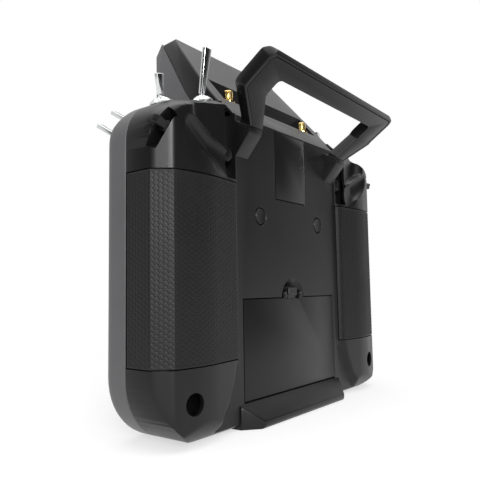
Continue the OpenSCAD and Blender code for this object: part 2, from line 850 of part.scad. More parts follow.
module handle_frame() {
  color(black) difference() {
    handle_body();
    intersection() {
      handle_strip(-1, under_t + 0.1, [[loop_l + 0.1, -1], [loop_l + 0.1, under_t + 0.1]], 1);
      handle_outline(under_rim - 0.1, -1);
    }
    both_sides() at_leg_screw() translate([0, 0, -2]) cylinder(r = screw_r + run, h = leg_screw_up + 2.5);
  }
}

module handle_cap() {
  color(black) intersection() {
    handle_strip(0, under_t, [[loop_l, 0], [loop_l, under_t]]);
    handle_outline(under_rim, 0);
  }
}

module handle_screws() {
  color(chrome) both_sides() at_leg_screw() {
    translate([0, 0, -leg_screw_in]) cylinder(r = screw_r, h = leg_screw_in + leg_screw_up);
    translate([0, 0, -leg_screw_in - 2]) cylinder(r = screw_head_r, h = 2);
  }
}

// ---- antenna ports ----
flange_t = 1.4;
washer_t = 0.5;
shank_r = port_r - 0.25;
port_y = ledge_y - 5.7;
pocket_z = ledge_z + 0.6;
port_nut_top = pocket_z + flange_t + 0.6;
module antenna_ports() {
  color(gold) for (x = [-1, 1]) translate([x * port_half, port_y, 0]) difference() {
    union() {
      translate([0, 0, pocket_z - 5.6]) cylinder(r = 4.6, h = 3);
      translate([0, 0, pocket_z - 5.6]) cylinder(r = shank_r, h = port_nut_top - pocket_z + 5.7);
      translate([0, 0, port_nut_top]) cylinder(r = port_r, h = pocket_z + port_l - port_nut_top);
    }
    translate([0, 0, pocket_z + 3.4]) cylinder(r = port_r - 0.8, h = port_l);
  }
}

module antenna_port_nuts() {
  color(gold) for (x = [-1, 1]) translate([x * port_half, port_y, pocket_z])
    difference() {
      union() {
        cylinder(r = 4.6, h = washer_t);
        cylinder(r = 4.5, h = port_nut_top - pocket_z, $fn = 6);
      }
      translate([0, 0, -1]) cylinder(r = shank_r + run, h = 5);
    }
}

// ---- switches ----
pivot_up = 2.2;
bushing_top = nut_h + 0.8;
bore_r = bushing_r - 0.65;
barrel_r = bore_r - 0.55;
barrel_l = 2 * sqrt(pow(bore_r - run, 2) - pow(barrel_r, 2));

module switch_bodies() {
  color(chrome) for (side = [1, -1]) on_side(side) for (s = switches(side)) at_switch(s) difference() {
    union() {
      translate([0, 0, -wall - 5]) cylinder(r = bushing_r, h = wall + 5 + bushing_top);
      translate([-4, -4.6, -wall - 11.5]) cube([8, 9.2, 8.4]);
    }
    translate([0, 0, -wall - 4]) cylinder(r = bore_r, h = 30);
  }
}

module switch_nuts() {
  color(chrome) for (side = [1, -1]) on_side(side) for (s = switches(side)) at_switch(s) difference() {
    union() {
      cylinder(r = nut_r, h = nut_h * 0.4);
      translate([0, 0, nut_h * 0.4 - eps]) cylinder(r = nut_r - 0.8, h = nut_h * 0.6);
    }
    translate([0, 0, -1]) cylinder(r = bushing_r + run, h = nut_h + 2);
  }
}

// A flat bat lever: a barrel that turns in the bushing, a neck and a flaring blade
module lever(s, side) {
  neck_r = 1.2;
  reach = s[5] + bushing_top - pivot_up;
  neck_l = bushing_top - pivot_up + 1.6;
  color(chrome) on_side(side) at_switch(s) translate([0, 0, pivot_up])
    rotate([s[6], s[7], 0]) {
      rotate([0, 90, 0]) cylinder(r = barrel_r, h = barrel_l, center = true);
      cylinder(r = neck_r, h = neck_l + 1);
      translate([0, 0, neck_l]) rotate([90, 0, 0]) linear_extrude(2.6, center = true)
        polygon([[-1.5, 0], [1.5, 0], [s[8] / 2, reach - neck_l], [-s[8] / 2, reach - neck_l]]);
    }
}

// ---- gimbals ----
module gimbal_housings() {
  color(black) both_sides() at_stick() difference() {
    translate([-housing / 2, -housing_d / 2, -housing / 2]) cube([housing, housing_d, housing]);
    translate([-housing / 2 + 2, -housing_d, -housing / 2 + 2])
      cube([housing - 4, 2 * housing_d, housing - 4]);
    rotate([0, 90, 0]) cylinder(r = pin_r + run, h = housing + 2, center = true);
  }
  color(black) both_sides() at_stick() for (x = [-1, 1], z = [-1, 1])
    translate([x * (housing / 2 - 3), -housing_d / 2 + 1, z * (housing / 2 - 3)]) rotate([90, 0, 0])
      cylinder(r = 2.6, h = ball_r - wall - housing_d / 2 + 1);
}

module gimbal_faceplates() {
  color(black) both_sides() at_stick() rotate([90, 0, 0]) translate([0, 0, ball_r - 0.8])
    difference() {
      cylinder(r = plate_r, h = plate_t);
      translate([0, 0, -1]) cylinder(r = hole_r, h = plate_t + 2);
      for (a = [45:90:315]) rotate(a) translate([plate_r - 4, 0, plate_t - 0.8]) cylinder(r = 1.6, h = 2);
    }
}

module gimbal_sensors() {
  color(board_green) both_sides() at_stick()
    translate([housing / 2 + 0.4, -5, -7]) cube([1.6, 10, 14]);
}

module yoke(side) {
  color(satin) on_side(side) at_stick() difference() {
    union() {
      rotate([90, 0, 0]) cylinder(r = ring_out, h = ring_w, center = true);
      rotate([0, 90, 0]) cylinder(r = pin_r, h = housing, center = true);
    }
    rotate([90, 0, 0]) cylinder(r = ring_in, h = ring_w + 2, center = true);
    cylinder(r = pin_r + run, h = housing, center = true);
  }
}

module stick(side) {
  color(chrome) on_side(side) at_stick() {
    sphere(r = ball_r);
    cylinder(r = pin_r, h = 2 * ring_out - 0.6, center = true);
    rotate([90, 0, 0]) cylinder(r = 2.2, h = stick_l - 9);
  }
}

module stick_end(side) {
  color(chrome) on_side(side) at_stick() rotate([90, 0, 0]) translate([0, 0, stick_l - 12])
    difference() {
      cylinder(r = 3.8, h = 12);
      translate([0, 0, -1]) cylinder(r = 2.2 + run, h = 4.2);
    }
}

// ---- sliders and back buttons ----
slider_rest = 17;
carriage_turn = 9;
tab_turn = 5;
tab_out = 2.6;
module slider(side) {
  inner = shoulder_r - slot_depth - 5.4;
  color(satin) on_side(side) {
    slider_sector(inner, shoulder_r - slot_depth + 0.4, slot_w - 0.8,
      slider_rest - carriage_turn, slider_rest + carriage_turn);
    slider_sector(shoulder_r - slot_depth, shoulder_r + tab_out, slot_w - 0.8,
      slider_rest - tab_turn, slider_rest + tab_turn);
  }
}

module rear_button(side) {
  color(black) on_side(side) translate([button_x, trench_y, button_z]) rotate([-90, 0, 0]) {
    translate([0, 0, 1.6]) cylinder(r = button_r, h = 5.4);
    translate([0, 0, -wall - 1.8]) cylinder(r = button_r - 1.5, h = wall + 3.6);
  }
}

// ---- front controls ----
module trim_tab(x, z, across_face) {
  l = trim_l - 6.4;
  w = trim_w - 0.8;
  color(black) translate([x, front_y, z]) rotate([0, across_face ? 0 : 90, 0]) {
    box(-l / 2, l / 2, -2.4, wall + 0.4, -w / 2, w / 2);
    box(-l / 2 - 4.6, l / 2 + 4.6, wall + 0.4, wall + 1.8, -w / 2 - 1, w / 2 + 1);
  }
}

module dial(side) {
  color(black) on_side(side) translate([dial_x, front_y, dial_z]) rotate([90, 0, 0]) {
    translate([0, 0, 0.4]) cylinder(r = dial_r, h = 6.2);
    translate([0, 0, -8]) cylinder(r = 3.2, h = 9);
  }
}

module scroll_wheel() {
  color(satin) translate([wheel_x - wheel_w / 2, wheel_y, wheel_z]) rotate([0, 90, 0]) {
    cylinder(r = wheel_r, h = wheel_w);
    translate([0, 0, -1.4]) cylinder(r = 1.5, h = wheel_w + 2.8);
  }
}

module press_key(x, z, r) {
  color(black) translate([x, front_y, z]) rotate([90, 0, 0]) {
    translate([0, 0, -wall - 2]) cylinder(r = r, h = wall + 2 + 1.4);
    translate([0, 0, -wall - 3]) cylinder(r = r + 1.2, h = 1.6);
  }
}

// ---- screen ----
module screen_bezel() {
  color(black) at_screen(screen_mid) difference() {
    box(-glass_w / 2 - bezel + 0.1, glass_w / 2 + bezel - 0.1, -0.6, 2.1,
      -glass_h / 2 - bezel + 0.1, glass_h / 2 + bezel - 0.1);
    box(-glass_w / 2, glass_w / 2, -2, 0.9, -glass_h / 2, glass_h / 2);
    box(-glass_w / 2 + 2, glass_w / 2 - 2, -2, 3, -glass_h / 2 + 2, glass_h / 2 - 2);
  }
}

module screen_glass() {
  color([0.1, 0.12, 0.16, 0.6]) at_screen(screen_mid) box(-glass_w / 2 + 0.15, glass_w / 2 - 0.15,
    -0.3, 0.8, -glass_h / 2 + 0.15, glass_h / 2 - 0.15);
}

module screen_module() {
  color([0.3, 0.3, 0.32]) at_screen(screen_mid) box(-glass_w / 2 + 3.2, glass_w / 2 - 3.2,
    0.9, 5.4, -glass_h / 2 + 3.2, glass_h / 2 - 3.2);
}

// ---- inside ----
board_y = front_y + wall + 12;
board_t = 1.6;
board_half = 40;
board_z = [50, 134];
post_x = 33;
post_in = 4;
post_r = 2.5;
cheek_t = 1.6;
cheek_half = 3.4;
module main_board() {
  color(board_green) difference() {
    union() {
      box(-board_half, board_half, board_y, board_y + board_t, board_z[0], board_z[1]);
      for (x = [-1, 1], z = [board_z[0] + post_in, board_z[1] - post_in])
        translate([x * post_x, board_y + eps, z]) rotate([90, 0, 0])
          cylinder(r = post_r, h = board_y - front_y - wall + eps);
      // Cheeks that carry the scroll wheel's pins
      for (x = [-1, 1]) translate([wheel_x + x * (wheel_w / 2 + 1.3), 0, 0])
        box(-cheek_t / 2, cheek_t / 2, front_y + wall, board_y + eps,
          wheel_z - cheek_half, wheel_z + cheek_half);
    }
    translate([wheel_x, wheel_y, wheel_z]) rotate([0, 90, 0])
      cylinder(r = 1.5 + run, h = wheel_w + 8, center = true);
    for (x = [-1, 1]) translate([x * cap_x, 0, cap_z]) rotate([90, 0, 0]) cylinder(r = 4.6, h = over);
  }
  color("dimgray") {
    box(-12, 8, board_y - 2.4, board_y, 72, 88);
    box(-30, -18, board_y - 1.6, board_y, 60, 70);
  }
}

radio_half = 48;
radio_top = ledge_z - 5.2;
module radio_board() {
  color(board_green) box(-radio_half, radio_half, ledge_y - 12, ledge_y - 0.5,
    radio_top - board_t, radio_top);
  color("silver") box(-radio_half / 4, radio_half / 4, ledge_y - 11, ledge_y - 2,
    radio_top - board_t - 2.4, radio_top - board_t);
}

module speaker() {
  color(black) translate([0, front_y + wall + 5.2, speaker_z]) rotate([90, 0, 0]) {
    cylinder(r = speaker_r, h = 5);
    translate([0, 0, -3.4]) cylinder(r = 8, h = 4);
  }
}

jack_depth = 12;
module socket_block() {
  color(black) difference() {
    union() {
      translate([jack_x, socket_y, 0.8]) cylinder(r = 3.9, h = jack_depth + 2);
      box(jack_x - 6, usb_x + 7, socket_y - 4.5, socket_y + 5.5, wall + 0.6, jack_depth + 2.8);
      box(usb_x - 4.9, usb_x + 4.9, socket_y - 1.8, socket_y + 1.8, 0.8, wall + 1);
    }
    translate([jack_x, socket_y, -1]) cylinder(r = 1.8, h = jack_depth + 1.8);
    box(usb_x - 4.5, usb_x + 4.5, socket_y - 1.3, socket_y + 1.3, -1, 8);
  }
}

module strap_loop() {
  color(chrome) translate([0, front_y, loop_z]) {
    translate([0, -6, 0]) rotate_extrude(angle = -180, $fn = 40)
      translate([loop_half, 0]) circle(r = wire, $fn = 20);
    both_sides() translate([loop_half, -6, 0]) rotate([-90, 0, 0])
      cylinder(r = wire, h = 6 - 1.4, $fn = 20);
    box(-loop_half - 3.5, loop_half + 3.5, -1.5, -0.02, -3.6, 3.6);
  }
}

front_shell();
rear_shell();
grip_pad(1);  // grip_right
grip_pad(-1);  // grip_left
battery_door();
door_latch();
battery_cells();
port_cover();
screw_caps();
handle_frame();
handle_cap();
handle_screws();
case_screws();
antenna_ports();
antenna_port_nuts();
switch_bodies();
switch_nuts();
lever(sw_back, 1);  // lever_back_right
lever(sw_back_left, -1);  // lever_back_left
lever(sw_side, 1);  // lever_side_right
lever(sw_side, -1);  // lever_side_left
lever(sw_inner, 1);  // lever_inner_right
lever(sw_inner, -1);  // lever_inner_left
lever(sw_outer, 1);  // lever_outer_right
lever(sw_outer, -1);  // lever_outer_left
gimbal_housings();
gimbal_faceplates();
gimbal_sensors();
yoke(1);  // yoke_right
yoke(-1);  // yoke_left
stick(1);  // stick_right
stick(-1);  // stick_left
stick_end(1);  // stick_end_right
stick_end(-1);  // stick_end_left
slider(1);  // slider_right
slider(-1);  // slider_left
rear_button(1);  // rear_button_right
rear_button(-1);  // rear_button_left
trim_tab(stick_x, trim_across_z, true);  // trim_across_right
trim_tab(-stick_x, trim_across_z, true);  // trim_across_left
trim_tab(trim_up_x, trim_up_z, false);  // trim_up_right
trim_tab(-trim_up_x, trim_up_z, false);  // trim_up_left
dial(1);  // dial_right
dial(-1);  // dial_left
scroll_wheel();
press_key(0, power_z, power_r);  // power_button
press_key(-key_x, menu_z, key_r);  // menu_key
press_key(-key_x, return_z, key_r);  // return_key
screen_bezel();
screen_glass();
screen_module();
main_board();
radio_board();
speaker();
socket_block();
strap_loop();
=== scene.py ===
import math

import bmesh
import bpy
import numpy as np
from mathutils import Matrix, Vector


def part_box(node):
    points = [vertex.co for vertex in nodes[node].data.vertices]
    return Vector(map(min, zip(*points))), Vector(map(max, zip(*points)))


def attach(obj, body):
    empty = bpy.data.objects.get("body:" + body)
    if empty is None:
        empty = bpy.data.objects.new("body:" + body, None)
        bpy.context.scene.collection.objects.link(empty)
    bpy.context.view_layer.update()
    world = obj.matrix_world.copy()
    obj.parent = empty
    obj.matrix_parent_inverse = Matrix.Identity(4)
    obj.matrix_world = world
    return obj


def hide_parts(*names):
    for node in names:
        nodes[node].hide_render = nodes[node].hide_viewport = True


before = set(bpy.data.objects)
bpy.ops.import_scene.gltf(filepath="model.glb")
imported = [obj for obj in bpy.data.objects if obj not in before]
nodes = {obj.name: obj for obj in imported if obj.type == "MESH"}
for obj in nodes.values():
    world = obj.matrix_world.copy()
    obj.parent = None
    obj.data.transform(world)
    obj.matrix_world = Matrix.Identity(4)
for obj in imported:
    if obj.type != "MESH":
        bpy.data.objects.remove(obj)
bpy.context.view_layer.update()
MM = 0.001


# ---- Studio ----
# A white table under a wide overhead panel, with one soft box low on the object's right,
# so that black plastic shows its facets and its edges. The camera stands behind the
# object's right grip, a little above the table.
EYE = Vector((316.1, 198.3, 81.4)) * MM
YAW, PITCH, ROLL = math.radians(37.49), math.radians(4.97), math.radians(-0.90)
LENS_MM, SENSOR_MM = 41.32, 36.0

forward = Vector((-math.cos(YAW) * math.cos(PITCH), -math.sin(YAW) * math.cos(PITCH), math.sin(PITCH)))
level = forward.cross(Vector((0, 0, 1))).normalized()
upright = level.cross(forward)
across = level * math.cos(ROLL) + upright * math.sin(ROLL)
upward = upright * math.cos(ROLL) - level * math.sin(ROLL)
lens = bpy.data.cameras.new("camera")
lens.lens = LENS_MM
lens.sensor_width = SENSOR_MM
lens.clip_start = 0.01
camera = bpy.data.objects.new("camera", lens)
camera.matrix_world = Matrix.Translation(EYE) @ Matrix((across, upward, -forward)).transposed().to_4x4()
bpy.context.collection.objects.link(camera)
bpy.context.scene.camera = camera
bpy.context.scene.view_settings.view_transform = "Standard"


class Value:
    """A shader socket that Python's operators work on."""

    def __init__(self, graph, socket):
        self.graph = graph
        self.socket = socket

    def math(self, operation, other):
        return self.graph.add("Math", self, other, settings={"operation": operation})

    def __add__(self, other):
        return self.math("ADD", other)

    def __mul__(self, other):
        return self.math("MULTIPLY", other)

    def __rsub__(self, other):
        return self.graph.add("Math", other, self, settings={"operation": "SUBTRACT"})


class Graph:
    """The node tree of one material or world, built from expressions."""

    def __init__(self, owner):
        owner.use_nodes = True
        self.owner = owner
        self.tree = owner.node_tree
        self.tree.nodes.clear()

    def add(self, kind, *inputs, output=0, settings=None, **named):
        """A node of that kind: settings first, then its inputs by place or by name."""
        node = self.tree.nodes.new(f"ShaderNode{kind}")
        for name, value in (settings or {}).items():
            setattr(node, name, value)
        for place, value in [*enumerate(inputs), *named.items()]:
            socket = node.inputs[place.replace("_", " ") if isinstance(place, str) else place]
            if isinstance(value, Value):
                self.tree.links.new(value.socket, socket)
            elif value is not None:
                socket.default_value = value
        return Value(self, node.outputs[output])

    def mix(self, share, first, second):
        """A colour between two others, each a socket or three numbers."""
        colours = [colour if isinstance(colour, Value) else (*colour, 1) for colour in (first, second)]
        # The node's colours are its seventh and eighth inputs, and its third output
        return self.add("Mix", share, *[None] * 5, *colours, output=2, settings={"data_type": "RGBA"})

    def end(self, shader, kind="Material"):
        self.tree.links.new(shader.socket, self.tree.nodes.new(f"ShaderNodeOutput{kind}").inputs[0])
        return self.owner


def lamp(name, place, target, size, power):
    """A soft box of that size in metres and power in watts, aimed at a point."""
    data = bpy.data.lights.new(name, "AREA")
    data.shape = "RECTANGLE"
    data.size, data.size_y = size
    data.energy = power
    light = bpy.data.objects.new(name, data)
    light.location = place
    light.rotation_euler = (Vector(target) - Vector(place)).to_track_quat("-Z", "Y").to_euler()
    bpy.context.collection.objects.link(light)


lamp("overhead", (0.1, 0.1, 1.1), (0, 0, 0.12), (1.4, 1.4), 12.5)
lamp("key", (0.82, 0.84, 0.46), (0.1, 0, 0.13), (0.36, 0.5), 13.0)

# The room is white behind the object and dark behind the camera, as polished metal shows.
# What the camera sees past the object is plain white.
ROOM_WHITE, ROOM_DARK, AMBIENT = 0.85, 0.02, 0.45
SMOOTH = {"interpolation_type": "SMOOTHSTEP"}
WHITE_SIDE, WHITE_FROM, WHITE_TO = (-0.6, -0.8, 0), -0.05, 0.3
world = bpy.data.worlds.new("studio")
bpy.context.scene.world = world
sky = Graph(world)
kinds = ("Camera", "Glossy", "Transmission")
seen, glossy, clear = [sky.add("LightPath", output=f"Is {kind} Ray") for kind in kinds]
looking = sky.add("TexCoord")
backwards = sky.add("VectorMath", looking, WHITE_SIDE, output=1, settings={"operation": "DOT_PRODUCT"})
room = sky.add("MapRange", backwards, WHITE_FROM, WHITE_TO, ROOM_DARK, ROOM_WHITE, settings=SMOOTH)
shown = seen.math("MAXIMUM", clear)
unseen = glossy * room + (1 - glossy) * AMBIENT
sky.end(sky.add("Background", (1, 1, 1, 1), shown + (1 - shown) * unseen), "World")

# The table glows a little, and further out it fades into the white behind it
TABLE_WHITE, GLOW, GLOW_FROM, GLOW_TO = 0.9, 0.6, 0.18, 0.6
floor_mesh = bmesh.new()
bmesh.ops.create_grid(floor_mesh, x_segments=1, y_segments=1, size=6.0)
floor_data = bpy.data.meshes.new("floor")
floor_mesh.to_mesh(floor_data)
floor_mesh.free()
floor = bpy.data.objects.new("floor", floor_data)
bpy.context.collection.objects.link(floor)
table = Graph(bpy.data.materials.new("table_white"))
spot = table.add("TexCoord", output=3)
away = table.add("VectorMath", spot, output=1, settings={"operation": "LENGTH"})
share = table.add("MapRange", away, GLOW_FROM, GLOW_TO, GLOW, 1.0, settings=SMOOTH)
paint = table.add("BsdfDiffuse", (TABLE_WHITE, TABLE_WHITE, TABLE_WHITE, 1))
glow = table.add("Emission", (1, 1, 1, 1), 1.0)
floor_data.materials.append(table.end(table.add("MixShader", share, paint, glow)))


# ---- Moulded plastic ----
# The casing's plastics are moulded against a spark-eroded steel face, which leaves a
# fine random grain. Handling polishes it a little, in broad patches that fall at random.
GRAIN_DEPTH, POLISH = 0.00006, 0.16


def moulded(name, colour, roughness, grain, scale=2600.0, specular=0.3):
    """A moulded plastic: its colour, its roughness and how deep its grain is."""
    graph = Graph(bpy.data.materials.new(name))
    spot = graph.add("TexCoord", output=3)
    pits = graph.add("TexNoise", Vector=spot, Scale=scale, Detail=2.0, Roughness=0.6)
    clouds = graph.add("TexNoise", Vector=spot, Scale=38.0, Detail=4.0, Roughness=0.55)
    shade = graph.mix(clouds, [c * 0.8 for c in colour], [c * 1.2 for c in colour])
    relief = graph.add("Bump", Strength=grain, Distance=GRAIN_DEPTH, Height=pits)
    return graph.end(graph.add("BsdfPrincipled", Base_Color=shade, Normal=relief, Specular_IOR_Level=specular,
                               Roughness=clouds * POLISH + (roughness - POLISH / 2)))


# ---- Rear shell ----
# The back half of the casing: both grips, the flat back panel, the foot and the rear
# of the head in one black moulding, 2.2 mm thick, with a fine spark-eroded texture.
# Four screws from behind hold it to the front shell.
HALF_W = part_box("rear_shell")[1].x / MM
SHOULDER_Z = 194.0
PART_Y = -24.4
WALL = 2.2
PANEL_HALF = 61.0
NECK_HALF = 66.0
FALL = math.radians(14)
CORNER_R = 35.0
SHOULDER_R = 24.0
SHOULDER_X = HALF_W - SHOULDER_R
SHOULDER_END = SHOULDER_X + SHOULDER_R * math.sin(FALL)
SHOULDER_CZ = SHOULDER_Z - (SHOULDER_END - NECK_HALF) * math.tan(FALL) - SHOULDER_R * math.cos(FALL)
CREST = 7.0
TAIL_R = 17.0


def ring(x, z, radius, first, last, steps):
    """Points round a centre, from one angle in degrees to another."""
    turns = [math.radians(first + (last - first) * i / steps) for i in range(steps + 1)]
    return [(x + radius * math.cos(a), z + radius * math.sin(a)) for a in turns]


def disc(centre, radius, sides=48):
    return ring(centre[0], centre[1], radius, 0, 360 - 360 / sides, sides - 1)


def both(points):
    """A half outline with its mirror image, closed across the middle."""
    return points + [(-x, z) for x, z in reversed(points) if abs(x) > 1e-6]


def casing_outline(inset=0.0):
    """Right half of the casing seen from behind, from the middle of its foot to its top."""
    top = SHOULDER_Z - inset / math.cos(FALL)
    return ([(0, inset)] + ring(HALF_W - CORNER_R, CORNER_R, CORNER_R - inset, -90, 0, 14)
            + ring(SHOULDER_X, SHOULDER_CZ, SHOULDER_R - inset, 0, 76, 12)
            + [(NECK_HALF, top), (0, top)])


def block(outline, low, high, along="y"):
    """A closed solid: an outline drawn in the other two axes, from low to high."""
    spots = {"x": lambda a, b: (low, a, b), "y": lambda a, b: (a, low, b), "z": lambda a, b: (a, b, low)}
    reach = {"x": (high - low, 0, 0), "y": (0, high - low, 0), "z": (0, 0, high - low)}
    mesh = bmesh.new()
    face = mesh.faces.new([mesh.verts.new(spots[along](a, b)) for a, b in outline])
    swept = bmesh.ops.extrude_face_region(mesh, geom=[face])["geom"]
    bmesh.ops.translate(mesh, vec=reach[along], verts=[v for v in swept if isinstance(v, bmesh.types.BMVert)])
    bmesh.ops.recalc_face_normals(mesh, faces=mesh.faces)
    return mesh


def slab(x0, x1, y0, y1, z0, z1):
    return block([(x0, z0), (x1, z0), (x1, z1), (x0, z1)], y0, y1)


def panel(half, y0, y1, z0, z1):
    """A box that reaches as far to one side of the middle as to the other."""
    return slab(-half, half, y0, y1, z0, z1)


def rod(radius, low, high, centre, along="y", sides=48):
    """A round solid about an axis through a point given in the other two axes."""
    return block(disc(centre, radius, sides), low, high, along)


def peg(radius, low, high, sides=48):
    """A round solid about Z."""
    return rod(radius, low, high, (0, 0), "z", sides)


def lathe(profile, sides=48, shape=lambda turn, radius, height: radius, hollow=False):
    """A solid turned about Z from (radius, height) steps. A hollow one joins its last step to its first."""
    mesh = bmesh.new()
    turns = [math.tau * i / sides for i in range(sides)]
    rows = []
    for radius, height in profile:
        sized = [(shape(turn, radius, height), turn) for turn in turns]
        rows.append([mesh.verts.new((r * math.cos(turn), r * math.sin(turn), height)) for r, turn in sized])
    for low, high in zip(rows, rows[1:] + rows[:1] if hollow else rows[1:]):
        for i in range(sides):
            mesh.faces.new([low[i - 1], low[i], high[i], high[i - 1]])
    if not hollow:
        mesh.faces.new(rows[0])
        mesh.faces.new(rows[-1])
    bmesh.ops.recalc_face_normals(mesh, faces=mesh.faces)
    return mesh


def soften(mesh, width, segments=2, sharper=25, pick=lambda edge: True):
    """Rounds the edges that turn by more than that many degrees."""
    sharp = [e for e in mesh.edges if e.is_manifold and e.calc_face_angle(0) > math.radians(sharper)]
    bmesh.ops.bevel(mesh, geom=[e for e in sharp if pick(e)], offset=width, offset_type="OFFSET",
                    segments=segments, profile=0.5, affect="EDGES", material=-1, clamp_overlap=True)
    return mesh


def moved(mesh, offset=(0, 0, 0), turn=None):
    """The mesh turned about the origin by a matrix, then moved."""
    if turn is not None:
        bmesh.ops.transform(mesh, matrix=turn.to_4x4(), verts=mesh.verts)
    bmesh.ops.translate(mesh, vec=offset, verts=mesh.verts)
    return mesh


def about(axis, angle):
    return Matrix.Rotation(angle, 3, axis)


def mirrored(mesh):
    """A copy on the other side of the middle."""
    other = mesh.copy()
    bmesh.ops.scale(other, vec=(-1, 1, 1), verts=other.verts)
    bmesh.ops.reverse_faces(other, faces=other.faces)
    return other


def pair(mesh):
    return [mirrored(mesh), mesh]


def together(*meshes):
    """Several meshes as one, side by side."""
    whole = bmesh.new()
    for mesh in meshes:
        part = bpy.data.meshes.new("part")
        mesh.to_mesh(part)
        mesh.free()
        whole.from_mesh(part)
        bpy.data.meshes.remove(part)
    return whole


def as_object(mesh, name):
    data = bpy.data.meshes.new(name)
    mesh.to_mesh(data)
    mesh.free()
    thing = bpy.data.objects.new(name, data)
    bpy.context.collection.objects.link(thing)
    return thing


def carve(base, *tools, operation="DIFFERENCE"):
    """The base with each tool cut away from it."""
    thing = as_object(base, "base")
    helpers = [as_object(tool, "tool") for tool in tools]
    for helper in helpers:
        step = thing.modifiers.new("step", "BOOLEAN")
        step.operation = operation
        step.solver = "MANIFOLD"
        step.object = helper
    graph = bpy.context.evaluated_depsgraph_get()
    result = bmesh.new()
    result.from_mesh(thing.evaluated_get(graph).to_mesh())
    for old in [thing] + helpers:
        data = old.data
        bpy.data.objects.remove(old)
        bpy.data.meshes.remove(data)
    return result


def join(*meshes):
    """The solids as one."""
    return carve(*meshes, operation="UNION")


def common(*meshes):
    """What the solids have in common."""
    return carve(*meshes, operation="INTERSECT")


def place(mesh, name, finish, *stands_for, body="casing", crease=32):
    """Makes the finished mesh a piece that rides on a body and stands for CAD nodes."""
    bmesh.ops.scale(mesh, vec=(MM, MM, MM), verts=mesh.verts)
    piece = as_object(mesh, name)
    piece.data.shade_smooth()
    piece.data.set_sharp_from_angle(angle=math.radians(crease))
    piece.data.materials.append(finish)
    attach(piece, body)
    # Blender adds a number to the name of a finish that the CAD's own material has too
    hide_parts(*stands_for)


def soft_least(a, b, reach=0.6):
    """The lesser of two heights, blended where they are within that reach of each other."""
    return np.minimum(a, b) - np.maximum(reach - np.abs(a - b), 0) ** 2 / (4 * reach)


def ease(distance, width):
    """Climbs smoothly from 0 to 1 where a distance passes zero."""
    return 1 / (1 + np.exp(-distance / width))


def grip_section(x):
    """Height of the back of the casing over its width, with every corner rounded."""
    knots = [0, PANEL_HALF, PANEL_HALF + 3.5, 95, HALF_W - 8.5, HALF_W, HALF_W + 9]
    heights = [0, 0, CREST / 2, CREST, CREST / 2, -6.4, -16.3]
    # The section is averaged over a width that varies: the more, the rounder
    places = [0, 60, 63, 68, 78, 96, 108, 115, 116, 121, 124.5]
    spread = np.interp(x, places, [0.5, 0.7, 0.9, 2.5, 8, 9, 7, 2.2, 1.2, 1, 0.8])
    samples = [np.interp(x + spread * s, knots, heights) for s in np.linspace(-1, 1, 9)]
    return sum(samples) / len(samples)


# The channel that the forefinger lies in climbs outward from the trench beside the panel
TRENCH_IN, TRENCH_OUT = PANEL_HALF + 1.2, PANEL_HALF + 13.2
CHANNEL_X, CHANNEL_Z, CHANNEL_TURN = 83.5, 159.0, math.radians(25)
CHANNEL_R, CHANNEL_OFF, CHANNEL_MID, CHANNEL_REACH = 9.0, 1.5, 88.0, 22.0
CHANNEL_END_Y, CHANNEL_DEPTH, MOUTH_GROWTH, MOUTH_L = 5.6, 4.6, 12.0, 14.0
# The platform above it, which leans down outward and ends near the corner
PLATFORM_IN, PLATFORM_Y, PLATFORM_SLOPE, PLATFORM_OFF = 74.0, 3.2, 0.2, 5.5
PLATFORM_OUT, PLATFORM_OUT_Z, PLATFORM_OUT_SLOPE = 99.0, 172.0, 0.1
# The shoulder's top: a chamfer over the platform, a wide round from there to the corner
ROUND_FROM, ROUND_DEPTH, ROUND_FOOT_Y, ROUND_H = 100.5, 9.0, -11.0, 18.0
CHAMFER_DEPTH, CHAMFER_FOOT_Y, CHAMFER_RISE = 5.5, -6.0, 2.15
TOP_FROM_Z, BAND_Z, BAND_LEAN = 140.0, 185.5, 1.13
PAD_Z0, PAD_Z1 = 41.0, 143.0
OUT_OF_REACH = 99.0


def channel_height(x, off, platform):
    """Height of the channel's floor and sides, given how far off its line each point is."""
    deep = np.clip(1 - np.abs(x - CHANNEL_MID) / CHANNEL_REACH, 0, 1) ** 0.5
    radius = CHANNEL_R + MOUTH_GROWTH * np.clip(1 - (x - PLATFORM_IN) / MOUTH_L, 0, 1)
    hollow = np.sqrt(np.maximum(radius ** 2 - (off + CHANNEL_OFF) ** 2, 0.0))
    channel = radius + CHANNEL_END_Y - CHANNEL_DEPTH * deep - hollow
    inside = (np.abs(off + CHANNEL_OFF) < radius) & (x > PANEL_HALF + 5)
    # Over the platform it is lifted well clear, so that it cuts nothing there
    return np.where(inside, channel + 40 * platform, OUT_OF_REACH)


def top_height(x, z):
    """Height at which the top of the shoulder turns in towards the front."""
    fall = (SHOULDER_Z - (x - NECK_HALF) * math.tan(FALL) - z) * math.cos(FALL)
    corner = np.hypot(x - SHOULDER_X, z - SHOULDER_CZ)
    fall = np.where((x > SHOULDER_END) & (z > SHOULDER_CZ), SHOULDER_R - corner, fall)
    wide = ease(x - ROUND_FROM, 0.9)
    depth = ROUND_DEPTH * wide + CHAMFER_DEPTH * (1 - wide)
    rounded = ROUND_FOOT_Y + ROUND_H * np.sqrt(np.clip(1 - ((depth - fall) / depth) ** 2, 0, 1))
    sloped = CHAMFER_FOOT_Y + CHAMFER_RISE * fall
    return np.where(fall < depth, rounded * wide + sloped * (1 - wide), OUT_OF_REACH)


